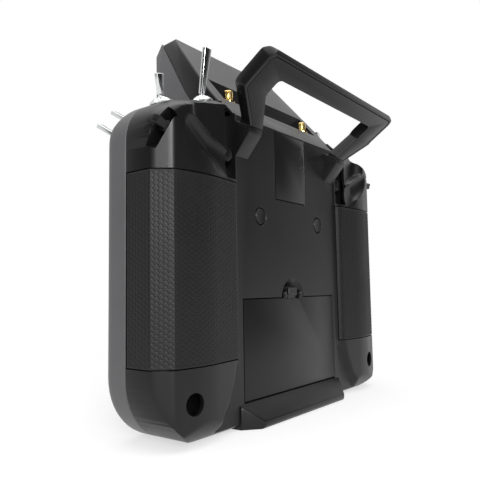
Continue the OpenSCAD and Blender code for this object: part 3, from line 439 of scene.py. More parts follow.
def back_height(x, z):
    """Height of the rear shell's outer face over each point of its outline."""
    x = np.abs(x)
    height = grip_section(x)
    along_channel = CHANNEL_Z + (x - CHANNEL_X) * math.tan(CHANNEL_TURN)
    off = (z - along_channel) * math.cos(CHANNEL_TURN)
    beyond = x - PLATFORM_OUT - PLATFORM_OUT_SLOPE * (z - PLATFORM_OUT_Z)
    platform = ease(off - PLATFORM_OFF, 0.35) * ease(-beyond, 1.6)
    level = PLATFORM_Y - PLATFORM_SLOPE * (x - PLATFORM_IN)
    height = height - (height - level) * platform * (height > level)
    height = soft_least(height, channel_height(x, off, platform))
    height = np.where(z > TOP_FROM_Z, soft_least(height, top_height(x, z)), height)
    # Below, the back curves in to the foot, and the grips end in a slope
    tail = CREST - TAIL_R + np.sqrt(np.maximum(TAIL_R ** 2 - np.maximum(TAIL_R - z, 0) ** 2, 0))
    height = np.where(z < TAIL_R, np.minimum(height, tail), height)
    edge = PANEL_HALF + np.interp(z, [-1, 7, 17, 30, 40, 42], [31, 18, 9, 4, 2, 1])
    height = np.where(z < PAD_Z0, np.minimum(height, np.maximum(x - edge, 0)), height)
    # Behind the head the panel leans in, as a band that the antennas stand over
    band = -(z - BAND_Z) / BAND_LEAN
    return np.where((x < NECK_HALF) & (z > BAND_Z), np.minimum(height, band), height)


def edge_distance(x, z):
    """How far each point of the back lies inside the casing's outline."""
    x = np.abs(x)
    side = HALF_W - x
    fall = (SHOULDER_Z - np.maximum(x - NECK_HALF, 0) * math.tan(FALL) - z) * math.cos(FALL)
    least = np.minimum(np.minimum(side, z), fall)
    low = CORNER_R - np.hypot(x - (HALF_W - CORNER_R), z - CORNER_R)
    high = SHOULDER_R - np.hypot(x - SHOULDER_X, z - SHOULDER_CZ)
    least = np.where((x > HALF_W - CORNER_R) & (z < CORNER_R), low, least)
    return np.where((x > SHOULDER_X) & (z > SHOULDER_CZ) & (fall > high), high, least)


def score(mesh, spot, across, pick=None):
    """Cuts every face along a plane, or only the faces whose middle is picked."""
    parts = mesh.verts[:] + mesh.edges[:] + mesh.faces[:]
    if pick is not None:
        faces = {f for f in mesh.faces if pick(f.calc_center_median())}
        parts = list({v for f in faces for v in f.verts} | {e for f in faces for e in f.edges} | faces)
    bmesh.ops.bisect_plane(mesh, geom=parts, plane_co=spot, plane_no=across, dist=1e-3)


# The rear edge is broken by three narrow facets, and the joint by a small chamfer
EDGE_WIDTHS, EDGE_DROPS = [0.15, 0.35, 0.6], [0.8, 0.42, 0.1, 0]
SEAM_W, SEAM_D = 0.4, 0.5
# Rows of points this far below the falling top and off the channel's line keep both edges clean
TOP_ROWS = (1.5, 3, 4.0, 4.3, 4.6, 5.0)
CHANNEL_ROWS = (-9.8, -9, -8.2, -7.4, -6.4, -5, -3, -1, 1, 3, 4.6, 5.2, 5.8, 6.4, 7.2)


def rear_skin(inset, cuts_x, cuts_z, cuts_low, fine=False):
    """The body of the rear shell as one solid, drawn in by inset. The cuts across its back
    are the rows and columns of points that take its height. A fine one has its edges broken."""
    mesh = bmesh.new()
    mesh.faces.new([mesh.verts.new((x, 0, z)) for x, z in casing_outline(inset)])
    for width in EDGE_WIDTHS if fine else ():
        inner = max(mesh.faces, key=lambda f: f.calc_area())
        bmesh.ops.inset_region(mesh, faces=[inner], thickness=width, use_even_offset=True)
    for cut in cuts_x:
        score(mesh, (cut, 0, 0), (1, 0, 0))
    for cut in cuts_z:
        score(mesh, (0, 0, cut), (0, 0, 1), lambda middle: middle.x > PANEL_HALF - 0.5)
    for cut in cuts_low:
        score(mesh, (0, 0, cut), (0, 0, 1))
    for fall in TOP_ROWS if fine else ():
        score(mesh, (NECK_HALF, 0, SHOULDER_Z - fall / math.cos(FALL)), (math.sin(FALL), 0, math.cos(FALL)),
              lambda middle: PANEL_HALF - 0.5 < middle.x < SHOULDER_END and middle.z > 150)
    for off in CHANNEL_ROWS if fine else ():
        score(mesh, (CHANNEL_X, 0, CHANNEL_Z + off / math.cos(CHANNEL_TURN)),
              (-math.sin(CHANNEL_TURN), 0, math.cos(CHANNEL_TURN)),
              lambda middle: 66 < middle.x < 106 and middle.z > 144)
    bmesh.ops.mirror(mesh, geom=mesh.verts[:] + mesh.edges[:] + mesh.faces[:], axis="X", merge_dist=1e-3)
    spots = np.array([v.co for v in mesh.verts])
    heights = back_height(spots[:, 0], spots[:, 2]) - inset
    if fine:
        inside = edge_distance(spots[:, 0], spots[:, 2])
        heights -= np.interp(inside, [0, *np.cumsum(EDGE_WIDTHS)], EDGE_DROPS)
    rim = [e for e in mesh.edges if e.is_boundary]
    for vert, height in zip(mesh.verts, heights):
        vert.co.y = height
    swept = bmesh.ops.extrude_edge_only(mesh, edges=rim)["geom"]
    foot = {v for v in swept if isinstance(v, bmesh.types.BMVert)}
    for vert in foot:
        vert.co.y = PART_Y + (SEAM_D if fine else -2)
    loop = [e for e in swept if isinstance(e, bmesh.types.BMEdge) and set(e.verts) <= foot]
    under = bmesh.ops.contextual_create(mesh, geom=loop)["faces"]
    bmesh.ops.recalc_face_normals(mesh, faces=mesh.faces)
    if fine:
        bmesh.ops.inset_region(mesh, faces=under, thickness=SEAM_W, depth=SEAM_D, use_even_offset=True)
    return mesh


HEAD_TOP, HEAD_HALF, HEAD_TOP_HALF, NARROW_Z = 250.8, NECK_HALF + 0.6, 55.0, 206.2
LEDGE_Y, LEDGE_Z = -11.5, 198.5
BACK_TOP_Y, BACK_TOP_Z = -49.5, 244.3
BROW_Y = -66.34
SEAM_FOOT_Z = 190.7


def head_face(t, foot):
    """The head seen from behind, drawn in by t and standing on the half outline of its foot."""
    return both(foot + [(HEAD_HALF - t, NARROW_Z), (HEAD_TOP_HALF - t, HEAD_TOP + 1), (0, HEAD_TOP + 1)])


def head_rear(t):
    """Rear share of the head, drawn in by t: a sloped back between two flat cheeks."""
    drop = 1.6 * t
    side = block([(-t, BAND_Z - drop / 2), (LEDGE_Y, LEDGE_Z - drop), (BACK_TOP_Y, BACK_TOP_Z - drop),
                  (BACK_TOP_Y - 4.5, HEAD_TOP - drop), (BROW_Y + 3 * t, HEAD_TOP - 1.6 - drop),
                  (PART_Y - 2 * t, SEAM_FOOT_Z - t), (PART_Y - 2 * t, BAND_Z - 18), (-t, BAND_Z - 18)],
                 -70, 70, "x")
    face = head_face(t, [(0, BAND_Z - 20), (HEAD_HALF - t, BAND_Z - 20)])
    return common(side, block(face, -75, 5))


def sink(outline, floor, surface=0.0, flare=0.35):
    """A cutter for a recess in a face that looks back: its mouth is chamfered."""
    mesh = block(outline, floor, surface - flare)
    for spread, rise in ((-flare, flare), (0, 14)):
        mouth = max(mesh.faces, key=lambda f: f.calc_center_median().y)
        bmesh.ops.inset_region(mesh, faces=[mouth], thickness=spread, depth=rise, use_even_offset=True)
    return mesh


def rect(half, z0, z1):
    return [(-half, z0), (half, z0), (half, z1), (-half, z1)]


COARSE = dict(cuts_x=[61, 64, 68, 76, 86, 95, 104, 112, 118], cuts_z=[25, 41, 143, 152, 160, 168, 176, 184],
              cuts_low=[3, 7, 12, 17, 186])
FINE = dict(cuts_x=[60, 60.6, 61.2, 61.9, 62.8, 63.7, 64.5, 65.3, 66.02, *np.arange(67.2, 123.8, 1.25)],
            cuts_z=[*np.arange(19, 41, 2.2), *np.arange(41, 143, 6), *np.arange(143.5, 185, 1.3)],
            cuts_low=[*np.arange(0.9, 17.5, 1.2), BAND_Z, *np.arange(186, 194, 1.0)], fine=True)
PAD_T = 1.8
DOOR_HALF, DOOR_Z0, DOOR_Z1, DOOR_T, DOOR_GAP = 55.0, 14.4, 74.4, 2.4, 0.45
ARCH_R, ARCH_Y = 14.0, -5.2
LATCH_HALF, HOOK_HALF, LATCH_TRAVEL = 6.8, 9.5, 3.0
COVER_HALF, COVER_Z, COVER_T = 18.1, 139.0, 2.0
CAP_X, CAP_Z, CAP_R, CAP_T, CAP_SEAT = 35.7, 126.0, 5.5, 1.6, -13.6
WELL_X, WELL_Z, WELL_R, WELL_DEPTH = 104.0, 22.7, 5.0, 14.0
PORT_X, PORT_Y, POCKET_Z, POCKET_HALF = 45.4, -17.2, 199.1, 56.0
TRENCH_Y, TRENCH_Z0 = -6.0, 144.5
BUTTON_X, BUTTON_Z, BUTTON_R = 68.2, 160.0, 5.0
BUSHING_R = 3.2
BACK_SWITCH, BACK_SWITCH_LEFT = (HALF_W - 48.5, -13.0), (HALF_W - 48.5, -19.0)
SIDE_SWITCH = (HALF_W - 21.3, -19.0)
SLOT_W, SLOT_Y, SLOT_DEPTH = 5.4, -3.6, 5.0
SLOT_FIRST, SLOT_LAST = -17, 43
SLIDER_LEAN = math.radians(23)
LEG_HALF, LEG_W, GUSSET_Z, GUSSET_BACK = 60.7, 12.7, 176.5, 11.0
LEG_TURN, JOINT_LEAN = math.radians(52.6), math.radians(12)
FOOT_HALF, FOOT_BACK, FOOT_TOP = 60, 10.5, 13.8
SCREW_BORE = 1.55
FRONTWARD, BACKWARD = about("X", math.pi / 2), about("X", -math.pi / 2)


def sector(inner, outer, width, first, last, steps=24):
    """Part of a disc about the side slider's axis, lying in the slot's own plane."""
    flat = block(ring(0, 0, outer, first, last, steps) + ring(0, 0, inner, last, first, steps),
                 -width / 2, width / 2, "z")
    return moved(flat, (SHOULDER_X, SLOT_Y, SHOULDER_CZ), about("X", math.pi / 2 - SLIDER_LEAN))


def pad_box(reach, inner):
    """The room round one grip that its pad lies in."""
    return slab(PANEL_HALF + inner, HALF_W + 5, PART_Y + inner, CREST + 5, PAD_Z0 - reach, PAD_Z1 + reach)


def on_slope(spot, turn, along, over):
    """The point (y, z) that far up a slope from another, and that far over it."""
    return (spot[0] + along * math.cos(turn) - over * math.sin(turn),
            spot[1] + along * math.sin(turn) + over * math.cos(turn))


LEG_FOOT = on_slope((GUSSET_BACK, GUSSET_Z), LEG_TURN, 0.05, 0)


def at_leg(mesh):
    """Moves a mesh whose Z runs along a screw up into a leg to its place on the joint."""
    spot = on_slope(LEG_FOOT, LEG_TURN, -4 * math.tan(JOINT_LEAN), 4)
    return moved(mesh, (LEG_HALF - LEG_W / 2 + 1, *spot), about("X", LEG_TURN - math.pi / 2))


def at_shoulder(mesh, x, y):
    """Moves a mesh whose Z runs up a switch's bushing to its place on the shoulder's slope."""
    return moved(mesh, (x, y, SHOULDER_Z - (x - NECK_HALF) * math.tan(FALL)), about("Y", FALL))


def switch_hole(seated, spot):
    """The hole that a switch's bushing stands in."""
    return seated(peg(BUSHING_R + 0.1, -7, 4), *spot)


def low_corner(edge):
    """Whether an edge of the trench runs straight back at one of its lower corners."""
    start, end = [v.co for v in edge.verts]
    return abs(start.z - end.z) + abs(start.x - end.x) < 0.1 and start.z < 160


gusset = soften(block([(-4, GUSSET_Z + 15 / math.tan(LEG_TURN + JOINT_LEAN)), (GUSSET_BACK, GUSSET_Z),
                       (GUSSET_BACK - 0.6, GUSSET_Z - 4), (-0.5, GUSSET_Z - 17), (-4, GUSSET_Z - 17)],
                      LEG_HALF - LEG_W, LEG_HALF, "x"), 0.6, 2)
foot = common(block([(PART_Y, 0), (9, 0), (FOOT_BACK, 1.8), (FOOT_BACK, 4.6), (0, FOOT_TOP),
                     (PART_Y, FOOT_TOP)], -FOOT_HALF, FOOT_HALF, "x"),
              block(both([(0, PART_Y - 1), (FOOT_HALF, PART_Y - 1), (FOOT_HALF, 1), (48, FOOT_BACK + 1),
                          (0, FOOT_BACK + 1)]), -1, 15, "z"))
soften(foot, 0.7, 3, pick=lambda edge: min(v.co.y for v in edge.verts) > 0.5)
outer = join(rear_skin(0, **FINE), soften(head_rear(0), 1.2, 3), foot, gusset, mirrored(gusset))

# Inside, the wall follows the outer face, with liners round every recess
rind = carve(pad_box(WALL, 0), rear_skin(WALL + PAD_T, **COARSE))
hollow = join(carve(rear_skin(WALL, **COARSE), rind, mirrored(rind)), head_rear(WALL))
pocket_wall = block([(-9.5, 196.8), (-28.2, 196.8), (-29.2, 210), (-28, 218), (-9.5, 202)],
                    -POCKET_HALF - WALL, POCKET_HALF + WALL, "x")
liners = [panel(DOOR_HALF + 1, PART_Y + 0.5, -1, DOOR_Z0 + 0.6, DOOR_Z1 - 0.4),
          panel(ARCH_R + WALL, ARCH_Y - WALL, -1, DOOR_Z1 - 4.4, DOOR_Z1 + ARCH_R + 2.1),
          panel(COVER_HALF + 1.5, -COVER_T - WALL, -1, COVER_Z - 2, BAND_Z - 0.5),
          common(pocket_wall, head_rear(0.6))]
slot_wall = sector(8, SHOULDER_R + 4, SLOT_W + 2.4, SLOT_FIRST - 4, SLOT_LAST + 4)
for liner in (slab(60, TRENCH_OUT + WALL, TRENCH_Y - WALL, -1, TRENCH_Z0 - 2, 185),
              rod(WELL_R + 1.8, PART_Y + 0.5, -3, (WELL_X, WELL_Z)),
              rod(CAP_R + 1.5, -13, -1, (CAP_X, CAP_Z)),
              common(slot_wall, rear_skin(0.5, **COARSE))):
    liners += pair(liner)
shell = join(carve(outer, hollow), *liners)

# Every recess and opening in it
trench = slab(TRENCH_IN, TRENCH_OUT, TRENCH_Y, 12, TRENCH_Z0, 199)
dish = lathe([(8, ARCH_Y), (9.3, ARCH_Y + 0.6), (ARCH_R - 0.6, -0.5), (ARCH_R, 0), (ARCH_R + 0.6, 3)], 72)
cuts = [sink(rect(DOOR_HALF + DOOR_GAP, DOOR_Z0 - DOOR_GAP, DOOR_Z1 + DOOR_GAP), -DOOR_T - 0.2),
        panel(52, PART_Y + 1.4, -1, DOOR_Z0 + 3, DOOR_Z1 - 3),
        carve(moved(dish, (0, 0, DOOR_Z1 - 1), BACKWARD), panel(20, -9, 9, 50, DOOR_Z1 - 0.3)),
        panel(HOOK_HALF + 0.5, ARCH_Y + 1, 1, DOOR_Z1 - LATCH_TRAVEL - 1, DOOR_Z1 + 0.2),
        sink(rect(COVER_HALF + 0.25, COVER_Z - 0.25, BAND_Z - 0.75), -COVER_T - 0.25, flare=0.3),
        block([(8.5, POCKET_Z), (-26, POCKET_Z), (-27, 208), (-25.2, 215), (8.5, 239)],
              -POCKET_HALF, POCKET_HALF, "x")]
for cut in (soften(trench, 1.2, 3, pick=low_corner),
            carve(pad_box(0.25, 0.4), rear_skin(PAD_T + 0.1, **COARSE)),
            sink(disc((WELL_X, WELL_Z), WELL_R), -WELL_DEPTH, 1.3, 0.8),
            rod(SCREW_BORE, PART_Y - 1, 0, (WELL_X, WELL_Z), sides=24),
            sink(disc((CAP_X, CAP_Z), CAP_R + 0.25), -CAP_T - 0.15),
            rod(3, CAP_SEAT, 0, (CAP_X, CAP_Z), sides=32),
            rod(BUTTON_R - 1.2, -12, -4, (BUTTON_X, BUTTON_Z)),
            sector(SHOULDER_R - 11, SHOULDER_R + 4, SLOT_W, SLOT_FIRST, SLOT_LAST),
            at_leg(peg(SCREW_BORE, -7, 3, 24)), at_leg(peg(3.1, -25, -5, 32)),
            switch_hole(at_shoulder, SIDE_SWITCH)):
    cuts += pair(cut)
cuts += [switch_hole(at_shoulder, BACK_SWITCH), mirrored(switch_hole(at_shoulder, BACK_SWITCH_LEFT))]
shell = carve(shell, *cuts)
# Strikes at the sides of the arch, which the latch's hook holds behind
strike = join(soften(slab(LATCH_HALF + 0.5, LATCH_HALF + 4.6, -1.3, -0.1, DOOR_Z1 + 2.2, DOOR_Z1 + 4.2), 0.3),
              slab(LATCH_HALF + 4, ARCH_R + 0.4, -2.6, -1, DOOR_Z1 + 2.2, DOOR_Z1 + 4.2))
shell_black = moulded("shell_black", (0.005, 0.005, 0.0054), 0.34, 0.5, specular=0.31)
place(join(shell, *pair(strike)), "rear_casing", shell_black, "rear_shell")


# ---- Grip pads ----
# A black rubber pad is bonded into a shallow seat on each grip and wraps its back and
# side. Its face is moulded with small raised rings, set like the cells of a honeycomb.
RING_PITCH, RING_DEPTH, DIMPLE_R, RING_R = 2.7, 0.3, 0.42, 0.95
PAD_ROUND = 0.9


def ring_relief(along, up):
    """Depth of the pad's pattern below its face: a dimple in each ring, a groove round it."""
    wide = RING_PITCH * math.sqrt(3)
    nearest = 1e9
    for shift in (0.0, 0.5):
        da = (along / wide + shift) % 1 - 0.5
        dz = (up / RING_PITCH + shift) % 1 - 0.5
        nearest = np.minimum(nearest, np.hypot(da * wide, dz * RING_PITCH))
    dimple = np.exp(-(nearest / DIMPLE_R) ** 2)
    groove = np.clip((nearest - RING_R) / 0.4, 0, 1)
    return RING_DEPTH * np.maximum(0.8 * dimple, groove)


def pad_sheet():
    """The right pad: a sheet laid over the grip's section, from its inner edge to the side."""
    x = np.concatenate([np.linspace(PANEL_HALF + 0.7, HALF_W - 0.02, 700), np.full(60, HALF_W)])
    y = grip_section(np.minimum(x, HALF_W - 0.02))
    y[700:] = np.linspace(y[699], PART_Y + 0.7, 61)[1:]
    lengths = np.concatenate([[0], np.cumsum(np.hypot(np.diff(x), np.diff(y)))])
    total, height = lengths[-1], PAD_Z1 - PAD_Z0
    mesh = bmesh.new()
    bmesh.ops.create_grid(mesh, x_segments=round(total / 0.5), y_segments=round(height / 0.5), size=0.5)
    flat = np.array([v.co for v in mesh.verts])
    along, up = (flat[:, 0] + 0.5) * total, (flat[:, 1] + 0.5) * height
    border = np.minimum(np.minimum(along, total - along), np.minimum(up, height - up))
    sunk = ring_relief(along, up) * np.clip((border - PAD_ROUND) / 0.7, 0, 1)
    sunk += PAD_ROUND - np.sqrt(np.maximum(PAD_ROUND ** 2 - np.maximum(PAD_ROUND - border, 0) ** 2, 0))
    step = 0.6
    ahead = [np.interp(np.minimum(along + step, total), lengths, axis) for axis in (x, y)]
    behind = [np.interp(np.maximum(along - step, 0), lengths, axis) for axis in (x, y)]
    slope_x, slope_y = ahead[0] - behind[0], ahead[1] - behind[1]
    size = np.hypot(slope_x, slope_y)
    px = np.interp(along, lengths, x) + slope_y / size * sunk
    py = np.interp(along, lengths, y) - slope_x / size * sunk
    for vert, a, b, c in zip(mesh.verts, px, py, up + PAD_Z0):
        vert.co = (a, b, c)
    bmesh.ops.recalc_face_normals(mesh, faces=mesh.faces)
    if max(mesh.faces, key=lambda f: f.calc_center_median().y).normal.y < 0:
        bmesh.ops.reverse_faces(mesh, faces=mesh.faces)
    bmesh.ops.solidify(mesh, geom=mesh.faces[:], thickness=0.75)
    return mesh


grip_rubber = moulded("grip_rubber", (0.005, 0.005, 0.0052), 0.5, 0.35, scale=1800.0, specular=0.31)
for side, pad in zip(("left", "right"), pair(pad_sheet())):
    place(pad, f"grip_pad_{side}", grip_rubber, f"grip_{side}", crease=60)


# ---- Front shell ----
# The front half of the casing and the console that the screen leans on, moulded in a
# satin dark grey plastic. Its edges are rounded to 8 mm for the thumbs.
FRONT_Y, FRONT_ROUND = -43.0, 8.0
BEVEL_FOOT, BEVEL_TURN = SHOULDER_CZ - 0.66, math.radians(59)
SCREEN_FOOT, SCREEN_LEAN = 140.0, math.radians(15.1)
SCREEN_TOP_Y, SCREEN_TOP_Z = -70.25, 241.0
CONSOLE_HALF, SEAM_LEAN = 60.0, 1.395
GLASS_W, GLASS_H, BEZEL, SCREEN_MID = 106.0, 66.0, 3.0, 56.0
STICK_X, STICK_Z, PIVOT_Y = 84.0, 108.0, -29.5
BALL_R, HOLE_R, PLATE_R = 13.5, 14.7, 25.0
TRIM_L, TRIM_W = 16.0, 5.0
TRIM_ACROSS, TRIM_UP = (STICK_X, 70.0), (50.0, 104.0)
DIAL, WHEEL, WHEEL_R, WHEEL_W = (47.0, 131.0), (26.0, 100.0), 8.0, 7.0
KEYS = {"menu_key": (-26.0, 108.0, 5.0), "return_key": (-26.0, 92.0, 5.0), "power_button": (0.0, 62.0, 7.0)}
SPEAKER_Z = 33.0
SOCKET_Y, JACK_X, USB_X = -31.0, -16.0, 14.0
INNER_SWITCH, OUTER_SWITCH = (HALF_W - 26.5, BEVEL_FOOT + 12.5), (HALF_W - 14, BEVEL_FOOT + 5)


def front_body(inset=0):
    """The front half of the casing as a block with a rounded face, drawn in by inset."""
    mesh = block(both(casing_outline(inset)), FRONT_Y + FRONT_ROUND, PART_Y + 1 if inset else PART_Y - 0.6)
    radius = FRONT_ROUND - inset
    turns = [math.radians(15 * i) for i in range(7)]
    for a, b in zip(turns, turns[1:]):
        face = min(mesh.faces, key=lambda f: f.calc_center_median().y)
        bmesh.ops.inset_region(mesh, faces=[face], thickness=radius * (math.cos(a) - math.cos(b)),
                               depth=radius * (math.sin(b) - math.sin(a)), use_even_offset=True)
    if not inset:
        back = max(mesh.faces, key=lambda f: f.calc_center_median().y)
        bmesh.ops.inset_region(mesh, faces=[back], thickness=SEAM_W, depth=SEAM_D, use_even_offset=True)
    return mesh


def shoulder_wedge(t=0.0):
    """What is cut from the front of a shoulder for its bevel."""
    slope = math.tan(BEVEL_TURN)
    low, high = BEVEL_FOOT - slope, BEVEL_FOOT + 30 * slope
    return block([(FRONT_Y - 1 + 1.2 * t, low), (FRONT_Y + 30 + 1.2 * t, high), (FRONT_Y - 8, high),
                  (FRONT_Y - 8, low)], NECK_HALF + 2 - t, HALF_W + 3, "x")


def on_seam(edge):
    """Whether an edge of the head lies on the joint between its two halves."""
    off = [abs(v.co.y - PART_Y + (v.co.z - SEAM_FOOT_Z) / SEAM_LEAN) for v in edge.verts]
    return max(off) < 0.4 and min(v.co.z for v in edge.verts) > SEAM_FOOT_Z - 1


def head_front(t=0.0):
    """The console: the share of the head that leans towards the user."""
    side = block([(FRONT_Y + t, SCREEN_FOOT), (SCREEN_TOP_Y + t, SCREEN_TOP_Z - t / 2),
                  (BROW_Y - 0.8 + t, HEAD_TOP - 0.5 - t), (BROW_Y - 0.1 + 2 * t, HEAD_TOP - 1.6 - t),
                  (PART_Y - 0.1 + t, SEAM_FOOT_Z), (PART_Y - 0.1 + t, SCREEN_FOOT)], -70, 70, "x")
    face = head_face(t, [(0, SCREEN_FOOT - 5), (CONSOLE_HALF - t, SCREEN_FOOT - 5), (CONSOLE_HALF - t, 177),
                         (HEAD_HALF - t, 191)])
    return common(side, block(face, -75, -20))


def at_screen(mesh):
    """Moves a mesh from the screen's own frame, where z runs up its face, to its place."""
    return moved(moved(mesh, (0, 0, SCREEN_MID)), (0, FRONT_Y, SCREEN_FOOT), about("X", SCREEN_LEAN))


def front_sink(outline, depth=WALL + 1, flare=0.4):
    """A cutter for an opening in the front face, with a chamfered mouth."""
    mesh = sink(outline, -FRONT_Y - depth, -FRONT_Y, flare)
    bmesh.ops.scale(mesh, vec=(1, -1, 1), verts=mesh.verts)
    bmesh.ops.reverse_faces(mesh, faces=mesh.faces)
    return mesh


def at_bevel(mesh, x, z):
    """Moves a mesh whose Z runs up a switch's bushing to its place on the shoulder's bevel."""
    return moved(mesh, (x, FRONT_Y + (z - BEVEL_FOOT) / math.tan(BEVEL_TURN), z), about("X", BEVEL_TURN))


def rounded_rect(centre, width, height, radius, steps=4):
    """Corner points of a rectangle with round corners."""
    points = []
    for sx, sz, first in ((1, 1, 0), (-1, 1, 90), (-1, -1, 180), (1, -1, 270)):
        points += ring(centre[0] + sx * (width / 2 - radius), centre[1] + sz * (height / 2 - radius),
                       radius, first, first + 90, steps)
    return points


body = carve(front_body(), shoulder_wedge(), mirrored(shoulder_wedge()))
console = soften(head_front(), 1.4, 3,
                 pick=lambda e: not on_seam(e) and min(v.co.z for v in e.verts) > SCREEN_FOOT + 1)
soften(console, 0.35, 1, pick=on_seam)
room = block([(PART_Y - 0.1, SEAM_FOOT_Z), (BROW_Y - 0.1, HEAD_TOP - 1.6), (PART_Y + 5, HEAD_TOP),
              (PART_Y + 5, SEAM_FOOT_Z)], -HEAD_HALF - 0.2, HEAD_HALF + 0.2, "x")
hollow = carve(front_body(WALL), shoulder_wedge(WALL), mirrored(shoulder_wedge(WALL)))
hollow = join(hollow, head_front(WALL))
shell = carve(join(carve(body, room), console), hollow)
cuts = [front_sink(rounded_rect(WHEEL, WHEEL_W + 1.2, 2 * WHEEL_R + 1.6, 1.5))]
cuts += [front_sink(disc(spot, spot[2] + 0.3)) for spot in KEYS.values()]
cuts += [front_sink(rounded_rect((0, SPEAKER_Z + 4 * i), 22, 1.6, 0.8), flare=0.3) for i in range(-2, 3)]
for margin, depth in ((BEZEL, 2.2), (-3, 9)):
    half_w, half_h = GLASS_W / 2 + margin, GLASS_H / 2 + margin
    cuts.append(at_screen(panel(half_w, -3, depth, -half_h, half_h)))
cuts.append(rod(4, -1, 5, (JACK_X, SOCKET_Y), "z"))
cuts.append(block([(x, y + SOCKET_Y) for x, y in rounded_rect((USB_X, 0), 10, 3.8, 1.6)], -1, 4, "z"))
for cut in (rod(HOLE_R, -50, -38, (STICK_X, STICK_Z), sides=64),
            front_sink(disc((STICK_X, STICK_Z), PLATE_R + 0.3, 96), 0.8),
            front_sink(rounded_rect(TRIM_ACROSS, TRIM_L, TRIM_W, 1)),
            front_sink(rounded_rect(TRIM_UP, TRIM_W, TRIM_L, 1)), rod(3.3, -48, -38, DIAL),
            switch_hole(at_bevel, INNER_SWITCH), switch_hole(at_bevel, OUTER_SWITCH)):
    cuts += pair(cut)
shell_satin = moulded("shell_satin", (0.062, 0.062, 0.065), 0.4, 0.35, scale=2200.0, specular=0.5)
place(carve(shell, *cuts), "front_casing", shell_satin, "front_shell")


# ---- Carry handle ----
# A bent loop in satin black plastic stands on two gussets behind the head: its legs step
# outward and carry a bar. A thin plate closes its underside, set in within the outer rim.
LEG_L, LOOP_TURN, LOOP_L, LOOP_T, BAR_W = 20.2, math.radians(34.7), 21.6, 8.0, 10.7
BAR_HALF, BAR_IN = LEG_HALF + 20, LEG_HALF - LEG_W + 12
UNDER_T, UNDER_RIM = 2.0, 2.4
BEND = on_slope(LEG_FOOT, LEG_TURN, LEG_L, 0)
LOOP_END = LOOP_L + 2.9


def filleted(points, radii, steps=5):
    """The outline with each corner replaced by an arc of the radius given for it."""
    out = []
    for i, (spot, radius) in enumerate(zip(points, radii)):
        here = Vector(spot)
        before = (Vector(points[i - 1]) - here).normalized()
        after = (Vector(points[(i + 1) % len(points)]) - here).normalized()
        if radius == 0:
            out.append(tuple(spot))
            continue
        half = before.angle(after) / 2
        reach = radius / math.tan(half)
        centre = here + (before + after).normalized() * (radius / math.sin(half))
        first, last = here + before * reach - centre, here + after * reach - centre
        for k in range(steps + 1):
            arm = first.slerp(last, k / steps)
            out.append(tuple(centre + arm.normalized() * radius))
    return out


def strip(low, high, tail, rounds):
    """The bent strip between two depths, with the points of its back end."""
    halving = math.tan((LEG_TURN - LOOP_TURN) / 2)
    bends = [on_slope(BEND, LEG_TURN, over * halving, over) for over in (low, high)]
    feet = [on_slope(LEG_FOOT, LEG_TURN, -over * math.tan(JOINT_LEAN), over) for over in (low, high)]
    ends = [on_slope(BEND, LOOP_TURN, along, over) for along, over in tail]
    side = filleted([feet[0], bends[0]] + ends + [bends[1], feet[1]], [0, 9] + rounds + [9 + high, 0], 6)
    return block(side, -90, 90, "x")


def beside_bend(first, last):
    """The room between two planes beside the one that halves the bend, that far along from it."""
    halving = (LEG_TURN + LOOP_TURN) / 2
    corners = ((first, -40), (last, -40), (last, 40), (first, 40))
    return block([on_slope(BEND, halving, along, over) for along, over in corners], -99, 99, "x")


def loop_face(rim, reach=0.0):
    """The loop seen along its depth: its outer edge drawn in by rim, its inner one grown by reach."""
    leg_in, leg_out = LEG_HALF - LEG_W - reach, LEG_HALF - rim
    bar_in, bar_out = BAR_IN - reach, BAR_HALF - rim
    leg = filleted([(leg_in, -12), (leg_in, 0.5), (bar_in, LEG_L - 1.5), (bar_in, LEG_L + 3),
                    (bar_out, LEG_L + 3), (bar_out, LEG_L - 1.5), (leg_out, 0.5), (leg_out, -12)],
                   [0, 2, 3.2, 0, 0, 3.2, 2, 0])
    leg = moved(block(leg, -20, 30, "z"), (0, *LEG_FOOT), about("X", LEG_TURN))
    end = LOOP_END - rim
    bar = filleted([(bar_out, -3), (bar_out, end), (-bar_out, end), (-bar_out, -3)],
                   [0, 7 - rim, 7 - rim, 0], 8)
    hand = filleted([(bar_in, -30), (bar_in, LOOP_L - BAR_W - reach), (-bar_in, LOOP_L - BAR_W - reach),
                     (-bar_in, -30)], [0, 3, 3, 0])
    bar = carve(block(bar, -20, 30, "z"), block(hand, -25, 35, "z"))
    bar = moved(bar, (0, *BEND), about("X", LOOP_TURN))
    # Legs and bar meet on the plane that halves the bend
    return join(common(together(*pair(leg)), beside_bend(-60, 0.01)), common(bar, beside_bend(-0.01, 60)))


back_end = [(LOOP_L + 1.2, 0), (LOOP_END, 2.5), (LOOP_L + 1.4, LOOP_T * 0.78), (LOOP_L - 2, LOOP_T)]
whole = common(strip(0, LOOP_T, back_end, [0.8, 1.0, 2.0, 3.0]), loop_face(0))
room = strip(-1, UNDER_T + 0.1, [(LOOP_L + 0.12, -1), (LOOP_L + 0.12, UNDER_T + 0.1)], [0, 0])
loop = carve(whole, common(room, loop_face(UNDER_RIM - 0.12, 1)), *pair(at_leg(peg(SCREW_BORE, -3, 9.5, 24))))
plate = strip(0, UNDER_T, [(LOOP_L - 0.4, 0), (LOOP_L - 0.4, UNDER_T)], [0, 0])
plate = common(plate, loop_face(UNDER_RIM + 0.4))
handle_black = moulded("handle_black", (0.007, 0.007, 0.0074), 0.28, 0.3, scale=2400.0, specular=0.24)
for part, name, width, node in ((loop, "handle_loop", 0.55, "handle_frame"),
                                (plate, "handle_plate", 0.3, "handle_cap")):
    bmesh.ops.dissolve_limit(part, angle_limit=math.radians(1), verts=part.verts, edges=part.edges)
    place(soften(part, width, 2, sharper=30), name, handle_black, node)


